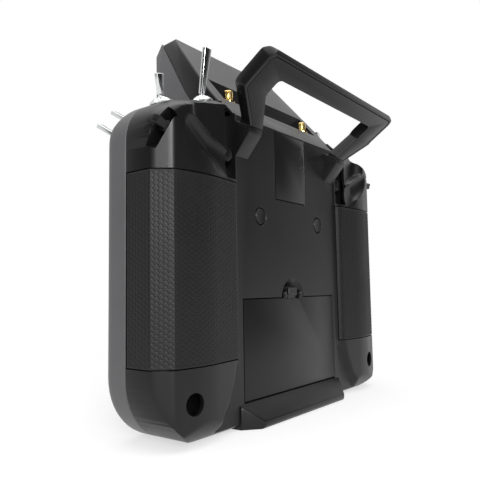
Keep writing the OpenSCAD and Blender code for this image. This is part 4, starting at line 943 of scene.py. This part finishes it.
# ---- Battery door ----
# A plain black cover over the cells that turns on its rounded lower edge. Two ears at
# its upper edge stand beside the latch, which slides in a slot behind its outer skin.
HINGE_Z = DOOR_Z0 + DOOR_T / 2
LATCH_LOW, LATCH_TOP, TONGUE_Y = 68.9, 81.2, -1.45
SKIN = 0.5

door = block(ring(-DOOR_T / 2, HINGE_Z, DOOR_T / 2, 180, 360, 12) + [(0, DOOR_Z1), (-DOOR_T, DOOR_Z1)],
             -DOOR_HALF, DOOR_HALF, "x")
soften(door, 0.35, 2, pick=lambda edge: min(v.co.y for v in edge.verts) > -0.6)
ear = soften(slab(LATCH_HALF + 0.5, LATCH_HALF + 4.6, -1.3, -0.15, DOOR_Z1 - 1.6, DOOR_Z1 + 1.9), 0.3)
cuts = [panel(LATCH_HALF + 0.2, TONGUE_Y - 0.05, -SKIN, 65.3, DOOR_Z1 + 1),
        panel(LATCH_HALF + 0.2, TONGUE_Y - 0.05, 1, DOOR_Z1 - 1, DOOR_Z1 + 1),
        panel(HOOK_HALF + 0.3, -DOOR_T - 1, -1.31, DOOR_Z1 - LATCH_TRAVEL - 0.2, DOOR_Z1 + 1)]
# Pockets in its inner face leave ribs between them
cuts += [slab(x - 8, x + 8, -DOOR_T - 1, -DOOR_T + 0.7, 20, 61) for x in range(-45, 46, 18)]
place(carve(join(door, *pair(ear)), *cuts), "bay_door", shell_black, "battery_door", body="battery_door")


# ---- Door latch ----
# The black latch slides down behind the door's skin and takes its hook off the strikes.
# The pad that a fingertip pushes is ribbed and lies level with the back panel.
PAD_LOW, PAD_HALF = 76.5, 5.1
latch_side = [(TONGUE_Y, PAD_LOW), (-0.3, PAD_LOW), (-0.1, PAD_LOW + 0.3)]
for rib in (77.7, 79.0, 80.3):
    latch_side += [(-0.1, rib - 0.45), (0.15, rib - 0.2), (0.15, rib + 0.2), (-0.1, rib + 0.45)]
latch_side += [(-0.3, LATCH_TOP), (TONGUE_Y, LATCH_TOP)]
pad = soften(block(latch_side, -PAD_HALF, PAD_HALF, "x"), 0.2, 1, sharper=60)
neck = panel(4.6, TONGUE_Y, -1.2, 73.5, 77)
tongue = soften(panel(LATCH_HALF, TONGUE_Y, -0.62, LATCH_LOW, 74.1), 0.2, 1)
hook = soften(panel(HOOK_HALF, -3.05, TONGUE_Y + 0.05, DOOR_Z1 + 0.6, DOOR_Z1 + 3), 0.25, 2)
latch_black = moulded("latch_black", (0.008, 0.008, 0.0085), 0.4, 0.3, specular=0.5)
place(join(pad, neck, tongue, hook), "bay_latch", latch_black, "door_latch", body="door_latch")


# ---- Port cover and screw caps ----
# A narrow black cover closes the service port above the cells. It has three pin holes.
# Two round caps hide the upper pair of case screws.
cover = soften(panel(COVER_HALF - 0.2, -COVER_T, 0, COVER_Z + 0.2, BAND_Z - 1), 0.25, 2)
pin = [(0.5, -1), (0.5, -0.25), (0.7, 0), (0.7, 1)]
pins = [moved(lathe(pin, 20), (-COVER_HALF + 5, 0, COVER_Z + 26 + 6 * i), BACKWARD) for i in range(3)]
place(carve(cover, *pins), "service_cover", shell_black, "port_cover")
lid = [(4.8, -CAP_T), (5.0, -CAP_T + 0.3), (5.0, -0.3), (4.75, -0.02), (4.3, -0.02), (3.8, -0.1)]
caps = [moved(lathe(lid, 64), (x, 0, CAP_Z), BACKWARD) for x in (-CAP_X, CAP_X)]
place(together(*caps), "screw_lids", shell_black, "screw_caps")


# ---- Screws ----
# Zinc-plated pan-head screws with a cross recess. Four hold the casing together from
# behind, and one comes up through each gusset into the handle's leg.
SCREW_TIP_Y, LEG_SCREW_L = -36.8, 12


def plated(name, colour, roughness, wear=0.12, grain=0.15):
    """A plated metal: its colour, its roughness, how unevenly it is worn and its grain."""
    graph = Graph(bpy.data.materials.new(name))
    spot = graph.add("TexCoord", output=3)
    patches = graph.add("TexNoise", Vector=spot, Scale=170.0, Detail=5.0, Roughness=0.6)
    lines = graph.add("TexNoise", Vector=spot, Scale=3200.0, Detail=2.0)
    relief = graph.add("Bump", Strength=grain, Distance=0.00002, Height=lines)
    shade = graph.mix(patches, [c * 0.88 for c in colour], colour)
    return graph.end(graph.add("BsdfPrincipled", Base_Color=shade, Metallic=1.0, Normal=relief,
                               Roughness=patches * wear + (roughness - wear / 2)))


def threaded(major, depth, pitch, low, high):
    """A shape for lathe that cuts a thread between two heights, and its steps."""
    def shape(turn, radius, height):
        if not low <= height <= high:
            return radius
        flank = abs((height / pitch - turn / math.tau) % 1 - 0.5) * 2
        return major - depth * min(max(1.5 * flank - 0.25, 0), 1)
    count = round((high - low) / pitch * 6)
    return shape, [(major, low + (high - low) * i / count) for i in range(count + 1)]


def screw(length):
    """A pan-head screw along Z: its head stands on z = 0 and its thread runs down."""
    shape, steps = threaded(1.5, 0.35, 1.0, 1.3 - length, -1)
    head = [(1.25, -0.8), (1.25, 0), (2.75, 0), (2.8, 0.1), (2.8, 1.0), (2.6, 1.6), (2.1, 1.92), (1.4, 2.0)]
    whole = lathe([(0.4, -length), (1.15, 1.2 - length)] + steps + head, 28, shape)
    return carve(whole, panel(1.7, -0.35, 0.35, 0.9, 3), panel(0.35, -1.7, 1.7, 0.9, 3))


screw_steel = plated("screw_steel", (0.62, 0.63, 0.65), 0.32)
screws = []
for x, z, seat in ((WELL_X, WELL_Z, -WELL_DEPTH), (CAP_X, CAP_Z, CAP_SEAT)):
    screws += [moved(screw(seat - SCREW_TIP_Y), (side * x, seat, z), BACKWARD) for side in (-1, 1)]
place(together(*screws), "casing_screws", screw_steel, "case_screws")
leg_screw = at_leg(moved(screw(LEG_SCREW_L), (0, 0, -5), about("X", math.pi)))
place(together(*pair(leg_screw)), "leg_screws", screw_steel, "handle_screws")


# ---- Antenna ports ----
# Gold-plated coaxial sockets stand in the pocket behind the head, each held by a
# washer and a hexagon nut. Their thread takes an antenna's ring.
PORT_FOOT, PORT_NUT_TOP, PORT_TOP = POCKET_Z - 2.6, POCKET_Z + 2, POCKET_Z + 8.6
port_gold = plated("port_gold", (0.86, 0.62, 0.24), 0.2, 0.1)
shape, steps = threaded(3.1, 0.28, 0.72, PORT_NUT_TOP + 0.5, PORT_TOP - 0.7)
profile = [(4.4, PORT_FOOT - 3), (4.6, PORT_FOOT - 2.8), (4.6, PORT_FOOT), (2.85, PORT_FOOT),
           (2.85, PORT_NUT_TOP + 0.1)] + steps
for radius, depth in ((2.95, 0.3), (2.7, 0), (2.4, 0), (2.3, 0.2), (2.3, 5.2), (0.95, 5.2), (0.95, 1.4),
                      (0.75, 1.2), (0.45, 1.2), (0.45, 4)):
    profile.append((radius, PORT_TOP - depth))
sockets, hexagons = [], []
for x in (-PORT_X, PORT_X):
    sockets.append(moved(lathe(profile, 40, shape), (x, PORT_Y, 0)))
    chamfers = lathe([(3.9, 0.4), (4.4, 0.75), (4.4, 1.7), (3.9, 2.01)], 48)
    nut = common(block(disc((0, 0), 4.5, 6), 0.45, 2, "z"), chamfers)
    washer = lathe([(4.5, 0), (4.6, 0.1), (4.6, 0.4), (4.5, 0.5)], 48)
    hexagons.append(moved(carve(join(nut, washer), peg(2.9, -1, 5, 40)), (x, PORT_Y, POCKET_Z)))
place(together(*sockets), "coax_sockets", port_gold, "antenna_ports")
place(together(*hexagons), "coax_nuts", port_gold, "antenna_port_nuts")


# ---- Shoulder switches ----
# Eight toggle switches in bright chrome. Each bushing is clamped by a round dress nut
# with a knurled rim and a conical top, and carries a flat bat lever that widens to its end.
BUSHING_TOP, PIVOT_UP = 3.8, 2.2
NUT_R, NUT_H, NUT_BORE = 6.6, 3.0, BUSHING_R + 0.05
# How each is seated and where, its lever's length, lean and width, and the sides it is on
SWITCHES = {"back": (at_shoulder, BACK_SWITCH, 28.5, (-10, -14), 5.9, ["right"]),
            "back_left": (at_shoulder, BACK_SWITCH_LEFT, 13.0, (10, -14), 5.2, ["left"]),
            "side": (at_shoulder, SIDE_SWITCH, 13.0, (-9, 1), 5.2, ["left", "right"]),
            "inner": (at_bevel, INNER_SWITCH, 31.5, (0, 0), 5.4, ["left", "right"]),
            "outer": (at_bevel, OUTER_SWITCH, 23.5, (0, 0), 5.2, ["left", "right"])}


def dress_nut():
    """A round nut: a knurled rim, a conical top and four slots for a spanner."""
    def knurl(turn, radius, height):
        return radius - 0.16 * (0.5 + 0.5 * math.cos(54 * turn)) * (0.2 < height < 1.15 and radius > 6)
    nut = lathe([(NUT_BORE, 0), (NUT_R - 0.25, 0), (NUT_R, 0.25), (NUT_R, 1.1), (NUT_R - 0.3, 1.35),
                 (5.1, 2.45), (4.4, NUT_H), (NUT_BORE + 0.3, NUT_H), (NUT_BORE, NUT_H - 0.3)],
                216, knurl, hollow=True)
    turns = [math.pi / 2 * quarter + 0.5 for quarter in range(4)]
    return carve(nut, *[moved(slab(5.2, 8, -0.6, 0.6, 1.3, 4), turn=about("Z", turn)) for turn in turns])


def bushing():
    """A threaded bushing over a switch's body, with the three terminals under it."""
    shape, steps = threaded(BUSHING_R, 0.3, 0.75, -WALL - 4, BUSHING_TOP - 0.3)
    mouth = [(BUSHING_R - 0.3, BUSHING_TOP), (2.8, BUSHING_TOP), (2.6, BUSHING_TOP - 0.5), (2.55, -WALL - 4)]
    sleeve = lathe([(BUSHING_R, -WALL - 5)] + steps + mouth, 36, shape)
    case = soften(slab(-4, 4, -4.6, 4.6, -WALL - 10.4, -WALL - 3.4), 0.5)
    terminals = [slab(-0.9, 0.9, y - 0.3, y + 0.3, -WALL - 11.5, -WALL - 9) for y in (-3, 0, 3)]
    return carve(join(sleeve, case, *terminals), peg(2.5, -WALL - 4, -WALL - 3))


def lever(length, width):
    """A bat lever about its pivot: a barrel in the bushing, a round neck and a flat blade."""
    reach = length + BUSHING_TOP - PIVOT_UP
    foot = BUSHING_TOP - PIVOT_UP + 1.6
    barrel = rod(2.0, -1.45, 1.45, (0, 0), "x", 32)
    blade = block([(-1.5, foot - 0.3), (1.5, foot - 0.3), (width / 2, reach), (-width / 2, reach)], -1.3, 1.3)
    neck = lathe([(1.2, 0), (1.2, foot - 0.4), (1.45, foot + 0.5)], 32)
    return join(barrel, neck, soften(blade, 0.45, 3))


switch_chrome = plated("switch_chrome", (0.78, 0.79, 0.8), 0.16, 0.08, 0.1)
bodies, nuts = [], []
for kind, (seated, spot, length, (over_x, over_y), width, sides) in SWITCHES.items():
    lean = about("Y", math.radians(over_y)) @ about("X", math.radians(over_x))
    parts = (bushing(), dress_nut(), moved(lever(length, width), (0, 0, PIVOT_UP), lean))
    body, nut, bat = [seated(part, *spot) for part in parts]
    for side in sides:
        on_side = mirrored if side == "left" else bmesh.types.BMesh.copy
        bodies.append(on_side(body))
        nuts.append(on_side(nut))
        label = f"{kind.split('_')[0]}_{side}"
        place(on_side(bat), f"bat_{label}", switch_chrome, f"lever_{label}", body=f"lever_{label}")
place(together(*bodies), "switch_bushings", switch_chrome, "switch_bodies")
place(together(*nuts), "dress_nuts", switch_chrome, "switch_nuts")


# ---- Side sliders ----
# A lever in dark grey plastic slides in the curved slot round each shoulder's corner.
# Three grooves across its end give a finger some hold.
SLIDER_REST = 17.0


def slider_sector(inner, outer, width, centre, half, steps=24):
    """Part of the side slider, round the casing's corner: radii from its edge, degrees from rest."""
    return sector(SHOULDER_R + inner, SHOULDER_R + outer, width, SLIDER_REST + centre - half,
                  SLIDER_REST + centre + half, steps)


def place_pair(mesh, name, node, finish):
    """A piece and its mirror image, each in place of a node and on the body of the same name."""
    for side, half in zip(("left", "right"), pair(mesh)):
        place(half, f"{name}_{side}", finish, f"{node}_{side}", body=f"{node}_{side}")


slider_grey = moulded("slider_grey", (0.006, 0.006, 0.0064), 0.45, 0.3, specular=0.28)
base = soften(slider_sector(-SLOT_DEPTH - 5.4, 0.4 - SLOT_DEPTH, SLOT_W - 0.8, 0, 9), 0.3)
stem = soften(slider_sector(-SLOT_DEPTH - 1, 2.6, SLOT_W - 0.8, 0, 5, 12), 0.5, 3)
grooves = [slider_sector(2.1, 4, SLOT_W, turn, 0.6, 3) for turn in (-2.4, 0, 2.4)]
place_pair(carve(join(base, stem), *grooves), "finger_slider", "slider", slider_grey)


# ---- Rear buttons ----
# A domed black push button stands in each finger trench, under the handle's leg. It is
# moulded in one with the stem that runs through the trench's floor.
button_black = moulded("button_black", (0.004, 0.004, 0.0042), 0.4, 0.2, specular=0.2)
dome = [(3.5, -WALL - 1.8), (3.5, 1.6), (4.8, 1.6), (5, 1.8), (5, 4.6), (4.85, 5.3), (4.4, 6.05), (3.6, 6.6),
        (2.4, 6.9), (1, 7)]
button = moved(lathe(dome, 56), (BUTTON_X, TRENCH_Y, BUTTON_Z), BACKWARD)
place_pair(button, "trench_button", "rear_button", button_black)


# ---- Gimbals ----
# Each stick sits in a gimbal: a moulded housing, a metal yoke that rocks up and down in
# it, and a black ball on the stick that rocks sideways in the yoke and hides the works.
# A round faceplate is pressed into the front shell over each.
HOUSING, HOUSING_D, RING_IN, PIN_R, STICK_L = 40.0, 13.0, BALL_R + 0.7, 1.5, 44.0
POST, PLATE_SCREWS_R = 17, 21
STICK_AT = (STICK_X, PIVOT_Y, STICK_Z)

inner_black = moulded("inner_black", (0.02, 0.02, 0.021), 0.55, 0.3)
case = block(rounded_rect((0, 0), HOUSING, HOUSING, 2), -HOUSING_D / 2, HOUSING_D / 2)
window = block(rounded_rect((0, 0), HOUSING - 4, HOUSING - 4, 1), -HOUSING_D, HOUSING_D)
housing = carve(soften(case, 0.3), window, rod(PIN_R + 0.05, -25, 25, (0, 0), "x", 32))
corners = ((-POST, -POST), (-POST, POST), (POST, -POST), (POST, POST))
housing = join(housing, *[rod(2.6, -BALL_R + WALL, 1 - HOUSING_D / 2, spot, sides=24) for spot in corners])
place(together(*pair(moved(housing, STICK_AT))), "gimbal_frames", inner_black, "gimbal_housings")

plate_black = moulded("plate_black", (0.012, 0.012, 0.013), 0.32, 0.25, specular=0.5)
plate = lathe([(HOLE_R + 0.3, 0), (PLATE_R - 0.2, 0), (PLATE_R, 0.2), (PLATE_R, 1.5), (PLATE_R - 0.5, 2),
               (23.4, 2), (23.2, 1.85), (22.9, 1.85), (22.7, 2), (17.6, 2), (17.3, 1.7), (16.6, 1.55),
               (HOLE_R + 0.1, 0.9), (HOLE_R, 0.7)], 120, hollow=True)
recesses = []
for x, y in ring(0, 0, PLATE_SCREWS_R, 45, 315, 3):
    recesses.append(moved(lathe([(1.6, 1.2), (1.6, 1.85), (1.85, 2.1), (1.85, 4)], 24), (x, y, 0)))
plate = moved(moved(carve(plate, *recesses), (0, 0, BALL_R - 0.8)), STICK_AT, FRONTWARD)
place(together(*pair(plate)), "stick_plates", plate_black, "gimbal_faceplates")

gimbal_metal = plated("gimbal_metal", (0.5, 0.5, 0.52), 0.38, 0.15, 0.3)
stick_metal = plated("stick_metal", (0.66, 0.67, 0.69), 0.24, 0.1)
hoop = moved(lathe([(RING_IN, -2.7), (RING_IN + 0.3, -3), (RING_IN + 2.4, -3), (RING_IN + 2.8, -2.6),
                    (RING_IN + 2.8, 2.6), (RING_IN + 2.4, 3), (RING_IN + 0.3, 3), (RING_IN, 2.7)], 72,
                   hollow=True), turn=FRONTWARD)
pins = [rod(PIN_R, side * RING_IN + 0.9 * side, side * HOUSING / 2, (0, 0), "x", 32) for side in (-1, 1)]
yoke = moved(carve(join(hoop, *pins), peg(PIN_R + 0.05, -25, 25, 32)), STICK_AT)

collar = [(5.6, 12.2), (5.2, 12.05), (4.9, 12.4), (4.6, 12.75), (3.2, 13.1), (2.9, 13.45), (2.4, 13.5)]
ball = moved(lathe(ring(0, 0, BALL_R, -86, 58, 24) + collar, 72), turn=FRONTWARD)
ball = moved(join(ball, peg(PIN_R, -RING_IN - 2.5, RING_IN + 2.5, 32)), STICK_AT)
shape, steps = threaded(2.2, 0.3, 0.7, STICK_L - 17, STICK_L - 9.1)
shaft = moved(lathe([(2.2, 9), (2.2, STICK_L - 17.2)] + steps, 32, shape), STICK_AT, FRONTWARD)


def flutes(turn, radius, height):
    """The long flutes round the milled end of a stick, between its two collars."""
    if radius < 3 or not STICK_L - 10.5 < height < STICK_L - 1.5:
        return radius
    return radius - 0.4 * max(0, math.cos(18 * turn)) ** 0.5


end = ((2.25, 8.9), (2.25, 12), (3.4, 12), (3.8, 11.6), (3.8, 10.6), (3.8, 10.4), (3.8, 1.6), (3.8, 1.4),
       (3.8, 0.4), (3.4, 0), (2.2, 0), (1.6, 0.9))
tip = lathe([(radius, STICK_L - depth) for radius, depth in end], 144, flutes)
gaps = [slab(-4.5, 4.5, -0.45, 0.45, STICK_L - 0.7, STICK_L + 1) for i in range(3)]
gaps = [moved(gap, turn=about("Z", math.pi / 3 * i)) for i, gap in enumerate(gaps)]
tip = moved(carve(tip, *gaps), STICK_AT, FRONTWARD)
for side, other in (("left", mirrored), ("right", bmesh.types.BMesh.copy)):
    stick = f"stick_{side}"
    place(other(yoke), f"rocker_{side}", gimbal_metal, f"yoke_{side}", body=f"yoke_{side}")
    place(other(ball), f"stick_ball_{side}", plate_black, body=stick)
    place(other(shaft), f"stick_shaft_{side}", stick_metal, stick, body=stick)
    place(other(tip), f"stick_tip_{side}", stick_metal, f"stick_end_{side}", body=stick)


# ---- Front controls ----
# Two ribbed trim tabs and a knurled dial beside each stick, a ribbed rubber scroll
# wheel, two round keys and a larger power button. All are black.
def trim_tab(spot, turn=None):
    """A tab that slides along X, from a flange inside the shell: its face looks along -Y."""
    half, wide = TRIM_L / 2 - 3.2, TRIM_W - 0.8
    crown = [(-half, -2.0)]
    for i in range(5):
        rib = -half + 1.3 + 1.75 * i
        crown += [(rib - 0.6, -2.0), (rib - 0.25, -2.4), (rib + 0.25, -2.4), (rib + 0.6, -2.0)]
    crown += [(half, -2.0), (half, WALL + 0.5), (-half, WALL + 0.5)]
    tab = soften(block(crown, -wide / 2, wide / 2, "z"), 0.18, 1, sharper=60)
    flange = soften(panel(half + 4.6, WALL + 0.4, WALL + 1.8, -wide / 2 - 1, wide / 2 + 1), 0.3)
    return moved(join(tab, flange), (spot[0], FRONT_Y, spot[1]), turn)


def dial_grip(turn, radius, height):
    return radius - 0.3 * (0.5 + 0.5 * math.cos(32 * turn)) * (radius > 6.2 and 1.1 < height < 5.7)


def wheel_ribs(turn, radius, height):
    return radius - 0.5 * (math.cos(28 * turn) > 0.2) * (radius > 7.5)


place_pair(trim_tab(TRIM_ACROSS), "trim_across_knob", "trim_across", button_black)
place_pair(trim_tab(TRIM_UP, about("Y", math.pi / 2)), "trim_up_knob", "trim_up", button_black)
knob = [(3.2, -8), (3.2, 0.4), (5.6, 0.4), (6.5, 1.0), (6.5, 1.2), (6.5, 5.6), (6.5, 5.8), (6.1, 6.4),
        (5.2, 6.6), (4.9, 6.45), (2, 6.3)]
dial = carve(lathe(knob, 160, dial_grip), slab(-0.35, 0.35, 2.4, 6.0, 6.0, 7))
place_pair(moved(dial, (DIAL[0], FRONT_Y, DIAL[1]), FRONTWARD), "dial_knob", "dial", button_black)
for body, (x, z, radius) in KEYS.items():
    key = [(radius + 1.2, -WALL - 3), (radius + 1.2, -WALL - 1.4), (radius, -WALL - 1.4), (radius, 0.9),
           (radius - 0.15, 1.2), (radius - 0.5, 1.4), (radius * 0.6, 1.25), (radius * 0.2, 1.15)]
    place(moved(lathe(key, 64), (x, FRONT_Y, z), FRONTWARD), f"{body}_cap", button_black, body, body=body)
half = WHEEL_W / 2
rim = [(1.5, -half - 1.4), (1.5, -half), (WHEEL_R - 0.8, -half), (WHEEL_R, -half + 0.8),
       (WHEEL_R, half - 0.8), (WHEEL_R - 0.8, half), (1.5, half), (1.5, half + 1.4)]
wheel = moved(lathe(rim, 168, wheel_ribs), (WHEEL[0], FRONT_Y + 4.2, WHEEL[1]), about("Y", math.pi / 2))
wheel_rubber = moulded("wheel_rubber", (0.03, 0.03, 0.031), 0.6, 0.4)
place(wheel, "menu_wheel", wheel_rubber, "scroll_wheel", body="scroll_wheel")


# ---- Screen ----
# A glossy black frame holds the cover glass in the leaning face of the console. The
# display behind the glass is off, so it shows as deep grey with a faint grid of cells.
def pane(width, height, radius, low, high):
    """A plate in the screen's own frame, with round corners."""
    return block(rounded_rect((0, 0), width, height, radius), low, high)


def display_glass(name):
    """Dark glass over a display that is off: clear gloss, a faint grid and a few smears."""
    graph = Graph(bpy.data.materials.new(name))
    spot = graph.add("TexCoord", output=3)
    grid = graph.add("TexBrick", Vector=spot, Color1=(0.006, 0.007, 0.01, 1), Color2=(0.007, 0.008, 0.011, 1),
                     Mortar=(0.003, 0.003, 0.004, 1), Scale=1.0, Mortar_Size=0.0004, Brick_Width=0.0025,
                     Row_Height=0.0025, settings={"offset": 0.0})
    smears = graph.add("TexNoise", Vector=spot, Scale=45.0, Detail=3.0, Distortion=1.2)
    return graph.end(graph.add("BsdfPrincipled", Base_Color=grid, Roughness=smears * 0.1 + 0.02, IOR=1.52,
                               Coat_Weight=1.0, Coat_Roughness=0.03))


bezel_gloss = moulded("bezel_gloss", (0.012, 0.012, 0.013), 0.12, 0.05, specular=0.6)
bezel = pane(GLASS_W + 2 * BEZEL - 0.2, GLASS_H + 2 * BEZEL - 0.2, 0.8, -0.6, 2.1)
soften(bezel, 0.35, 2, sharper=40, pick=lambda edge: max(v.co.y for v in edge.verts) < 0)
bezel = carve(bezel, pane(GLASS_W, GLASS_H, 0.5, -3, 0.9), pane(GLASS_W - 4, GLASS_H - 4, 0.5, -3, 4))
place(at_screen(bezel), "screen_frame", bezel_gloss, "screen_bezel")
glass = soften(pane(GLASS_W - 0.3, GLASS_H - 0.3, 0.4, -0.3, 0.8), 0.15, 2, sharper=40)
place(at_screen(glass), "cover_glass", display_glass("screen_glass"), "screen_glass")


# ---- Strap loop ----
# A bent steel wire for the neck strap's hook, brazed to a plate on the front face and
# plated like the switches.
LOOP_Z, LOOP_HALF, WIRE, WIRE_SIDES = 122.0, 8.0, 1.5, 24
path = [Vector(p) for p in [(LOOP_HALF, 4.6), (LOOP_HALF, 2)] + ring(0, 0, LOOP_HALF, 0, -180, 36)
        + [(-LOOP_HALF, 2), (-LOOP_HALF, 4.6)]]
wire = bmesh.new()
hoops = []
for i, spot in enumerate(path):
    ahead = (path[min(i + 1, len(path) - 1)] - path[max(i - 1, 0)]).normalized()
    side = Vector((ahead.y, -ahead.x))
    section = disc((0, 0), WIRE, WIRE_SIDES)
    hoops.append([wire.verts.new((*(spot + side * wide), high)) for wide, high in section])
for low, high in zip(hoops, hoops[1:]):
    for k in range(WIRE_SIDES):
        wire.faces.new([low[k - 1], low[k], high[k], high[k - 1]])
wire.faces.new(hoops[0])
wire.faces.new(hoops[-1])
bmesh.ops.recalc_face_normals(wire, faces=wire.faces)
plate = soften(pane(2 * LOOP_HALF + 7, 7.2, 2, 4.5, 5.98), 0.35, 2, sharper=40)
place(moved(join(plate, wire), (0, FRONT_Y - 6, LOOP_Z)), "strap_hoop", switch_chrome, "strap_loop")


# ---- Battery cells ----
# Two lithium cells lie across the bay. A shrink sleeve covers each but for its plated
# ends, and the raised one is the positive.
CELL_R, CELL_HALF, CELL_GAP = 9.2, 32.6, 3
cell_wrap = moulded("cell_wrap", (0.02, 0.09, 0.22), 0.25, 0.1, specular=0.5)
sleeve = [(6.4, 0.35 - CELL_HALF), (8.3, 0.2 - CELL_HALF), (8.95, 0.5 - CELL_HALF), (CELL_R, 1.2 - CELL_HALF),
          (CELL_R, CELL_HALF - 1.8), (8.95, CELL_HALF - 1.1), (8.3, CELL_HALF - 0.8), (6.2, CELL_HALF - 0.8)]
negative = [(6.2, -CELL_HALF), (6.3, 0.5 - CELL_HALF), (5, 0.6 - CELL_HALF)]
positive = [(6.1, CELL_HALF - 1), (6.1, CELL_HALF - 0.7), (3.4, CELL_HALF - 0.65), (3.1, CELL_HALF - 0.1),
            (2.8, CELL_HALF)]
sleeves, ends = [], []
for i in (0, 1):
    spot = (0, PART_Y + 1.45 + CELL_R, DOOR_Z0 + 3.3 + CELL_R + i * (2 * CELL_R + CELL_GAP))
    flip = about("Y", math.pi / 2 if i else -math.pi / 2)
    sleeves.append(moved(lathe(sleeve, 64), spot, flip))
    ends += [moved(lathe(cap, 48), spot, flip) for cap in (negative, positive)]
place(together(*sleeves), "cell_sleeves", cell_wrap, "battery_cells")
place(together(*ends), "cell_ends", screw_steel)


# ---- Speaker ----
# A small round loudspeaker glued behind the slots: a pressed basket, a paper cone and
# a magnet, drawn as one dark piece.
cone = [(8, -3.4), (8, -0.2), (11, 0.3), (13.6, 2.8), (14, 3), (14, 4.8), (13.8, 5), (12.9, 5), (12.6, 4.6),
        (11.8, 4.9), (11, 4.5), (5, 2.6), (3.8, 3.7), (1.5, 4.3)]
speaker = moved(lathe(cone, 72), (0, FRONT_Y + WALL + 5.2, SPEAKER_Z), FRONTWARD)
place(speaker, "loudspeaker", inner_black, "speaker")


# ---- Boards and sockets ----
# Inside are the main board, the radio board and a sensor board on each gimbal, all in
# green solder mask over copper tracks, the display's back and the block of sockets.
def circuit_board(name):
    """Glass-fibre board: green mask, paler over the tracks, with bright round pads."""
    graph = Graph(bpy.data.materials.new(name))
    spot = graph.add("TexCoord", output=3)
    tracks = graph.add("TexVoronoi", Vector=spot, Scale=330.0,
                       settings={"distance": "MANHATTAN", "feature": "DISTANCE_TO_EDGE"})
    on_pad = graph.add("TexVoronoi", Vector=spot, Scale=420.0).math("LESS_THAN", 0.16)
    mask = graph.mix(tracks.math("LESS_THAN", 0.1), (0.01, 0.09, 0.035), (0.02, 0.16, 0.06))
    return graph.end(graph.add("BsdfPrincipled", Base_Color=graph.mix(on_pad, mask, (0.6, 0.55, 0.4)),
                               Metallic=on_pad, Roughness=on_pad * 0.1 + 0.3))


board_green = circuit_board("board_green")
screen_back = plated("screen_back", (0.4, 0.4, 0.41), 0.5, 0.2, 0.3)
for node, finish in (("main_board", board_green), ("radio_board", board_green),
                     ("gimbal_sensors", board_green), ("screen_module", screen_back),
                     ("socket_block", inner_black)):
    nodes[node].data.materials.clear()
    nodes[node].data.materials.append(finish)
